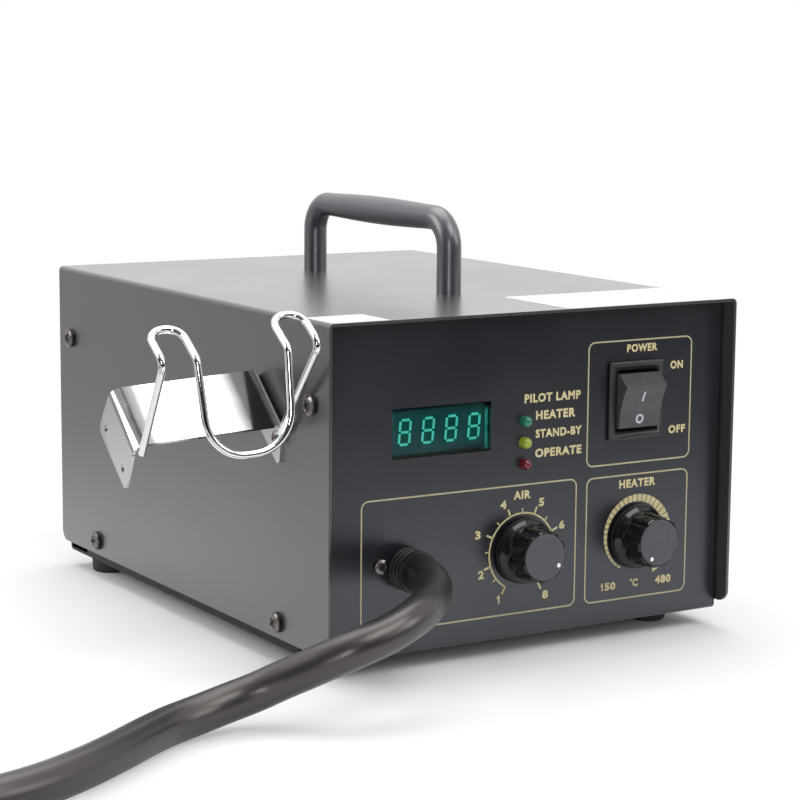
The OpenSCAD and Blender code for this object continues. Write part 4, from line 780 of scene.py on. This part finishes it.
# Rear panel
# The mains inlet, the fuse holder and its cap, moulded in black nylon and set into the rear panel. The
# cap carries the fuse, a glass tube.
for node, body in (("power_inlet", "station"), ("fuse_holder", "station"), ("fuse_cap", "fuse_carrier")):
    dress(node, gland_plastic, body)
fuse_glass = finish_of("fuse_glass", (0.75, 0.78, 0.76), 0.08, sockets={"Transmission Weight": 0.6})
vary_roughness(fuse_glass, 300, 0.05, 0.14)
dress("fuse", fuse_glass, "fuse_carrier")

# Handpiece
# Two moulded grip shells, matt black and lightly spark-textured, a rubber boot on the hose, and a
# brushed stainless heater pipe with a slip-on nozzle that heat has tinted.
grip_plastic = finish_of("grip_plastic", (0.02, 0.02, 0.023), 0.5)
mottle(grip_plastic, 180, (0.017, 0.017, 0.02), (0.025, 0.025, 0.028))
emboss(grip_plastic, 1600, 0.00006, 0.6)
for node in ("grip_left", "grip_right"):
    dress(node, grip_plastic, "station")
dress("hose_boot", hose_rubber, "station")
pipe_steel = finish_of("pipe_steel", (0.5, 0.48, 0.45), 0.32, 1.0)
vary_roughness(pipe_steel, 900, 0.24, 0.42, 5, (1, 0.03, 1))
mottle(pipe_steel, 22, (0.46, 0.44, 0.41), (0.56, 0.53, 0.48), 3)
emboss(pipe_steel, 1400, 0.00002, 0.3, 3, (1, 0.03, 1))
nozzle_steel = finish_of("nozzle_steel", (0.45, 0.38, 0.3), 0.3, 1.0)
mottle(nozzle_steel, 45, (0.4, 0.3, 0.2), (0.5, 0.46, 0.4), 4)
vary_roughness(nozzle_steel, 700, 0.22, 0.4, 5)
dress("heater_pipe", pipe_steel, "station")
dress("nozzle", nozzle_steel, "nozzle_sleeve")
ceramic = finish_of("ceramic", (0.75, 0.72, 0.64), 0.7)
mottle(ceramic, 160, (0.68, 0.65, 0.57), (0.8, 0.77, 0.7))
emboss(ceramic, 1500, 0.00004, 0.5)
dress("heater_core", ceramic, "station")

# Inside
# What the closed case hides: the diaphragm pump, the transformer, the boards and their parts, in
# the finishes that such parts have. These keep the shapes of the frame's own nodes.


def coat(node, material):
    """The CAD node stays as it is and takes the material in its slots."""
    piece = nodes[node]
    if not piece.material_slots:
        piece.data.materials.append(material)
    for place in piece.material_slots:
        place.material = material


plated = finish_of("pump_steel", (0.5, 0.51, 0.52), 0.35, 1.0)
vary_roughness(plated, 300, 0.28, 0.46)
laminated = finish_of("core_iron", (0.2, 0.21, 0.22), 0.45, 0.8)
mottle(laminated, 1400, (0.12, 0.125, 0.13), (0.26, 0.27, 0.28), 2, (0.02, 1, 0.02))
winding = finish_of("winding", (0.45, 0.3, 0.05), 0.4)
mottle(winding, 700, (0.38, 0.24, 0.04), (0.52, 0.36, 0.08), 2, (0.05, 0.05, 1))
cast = finish_of("arm_metal", (0.6, 0.61, 0.63), 0.4, 1.0)
vary_roughness(cast, 500, 0.32, 0.5)
moulded = finish_of("head_plastic", (0.04, 0.04, 0.045), 0.5)
mottle(moulded, 200, (0.034, 0.034, 0.038), (0.048, 0.048, 0.054))
membrane = finish_of("diaphragm", (0.05, 0.04, 0.035), 0.7)
mottle(membrane, 400, (0.04, 0.032, 0.028), (0.06, 0.05, 0.044))
milky = finish_of("manifold_plastic", (0.6, 0.6, 0.56), 0.4)
mottle(milky, 200, (0.56, 0.56, 0.52), (0.64, 0.64, 0.6))
silicone = finish_of("silicone", (0.65, 0.63, 0.57), 0.45)
mottle(silicone, 200, (0.6, 0.58, 0.52), (0.7, 0.68, 0.62))
board_mask = finish_of("board", (0.02, 0.14, 0.06), 0.35)
mottle(board_mask, 350, (0.015, 0.11, 0.045), (0.03, 0.18, 0.08), 2)
component = finish_of("component", (0.07, 0.08, 0.13), 0.4)
mottle(component, 90, (0.04, 0.05, 0.09), (0.1, 0.11, 0.16))
metal_can = finish_of("pot_metal", (0.5, 0.5, 0.51), 0.35, 1.0)
vary_roughness(metal_can, 400, 0.28, 0.45)
for node, material in (
    ("pump_base", plated), ("pump_mounts", foot_rubber), ("pump_core", laminated),
    ("transformer_core", laminated), ("pump_coil", winding), ("transformer_coil", winding),
    ("heat_sink", cast), ("pump_heads", moulded), ("pump_diaphragms", membrane), ("pump_manifold", milky),
    ("air_tube", silicone), ("display_board", board_mask), ("main_board", board_mask),
    ("display_spacers", milky), ("board_standoffs", brass), ("board_parts", component),
    ("potentiometers", metal_can), ("pump_arm_left", cast), ("pump_arm_right", cast),
):
    coat(node, material)

bpy.context.scene.view_settings.view_transform = "Standard"
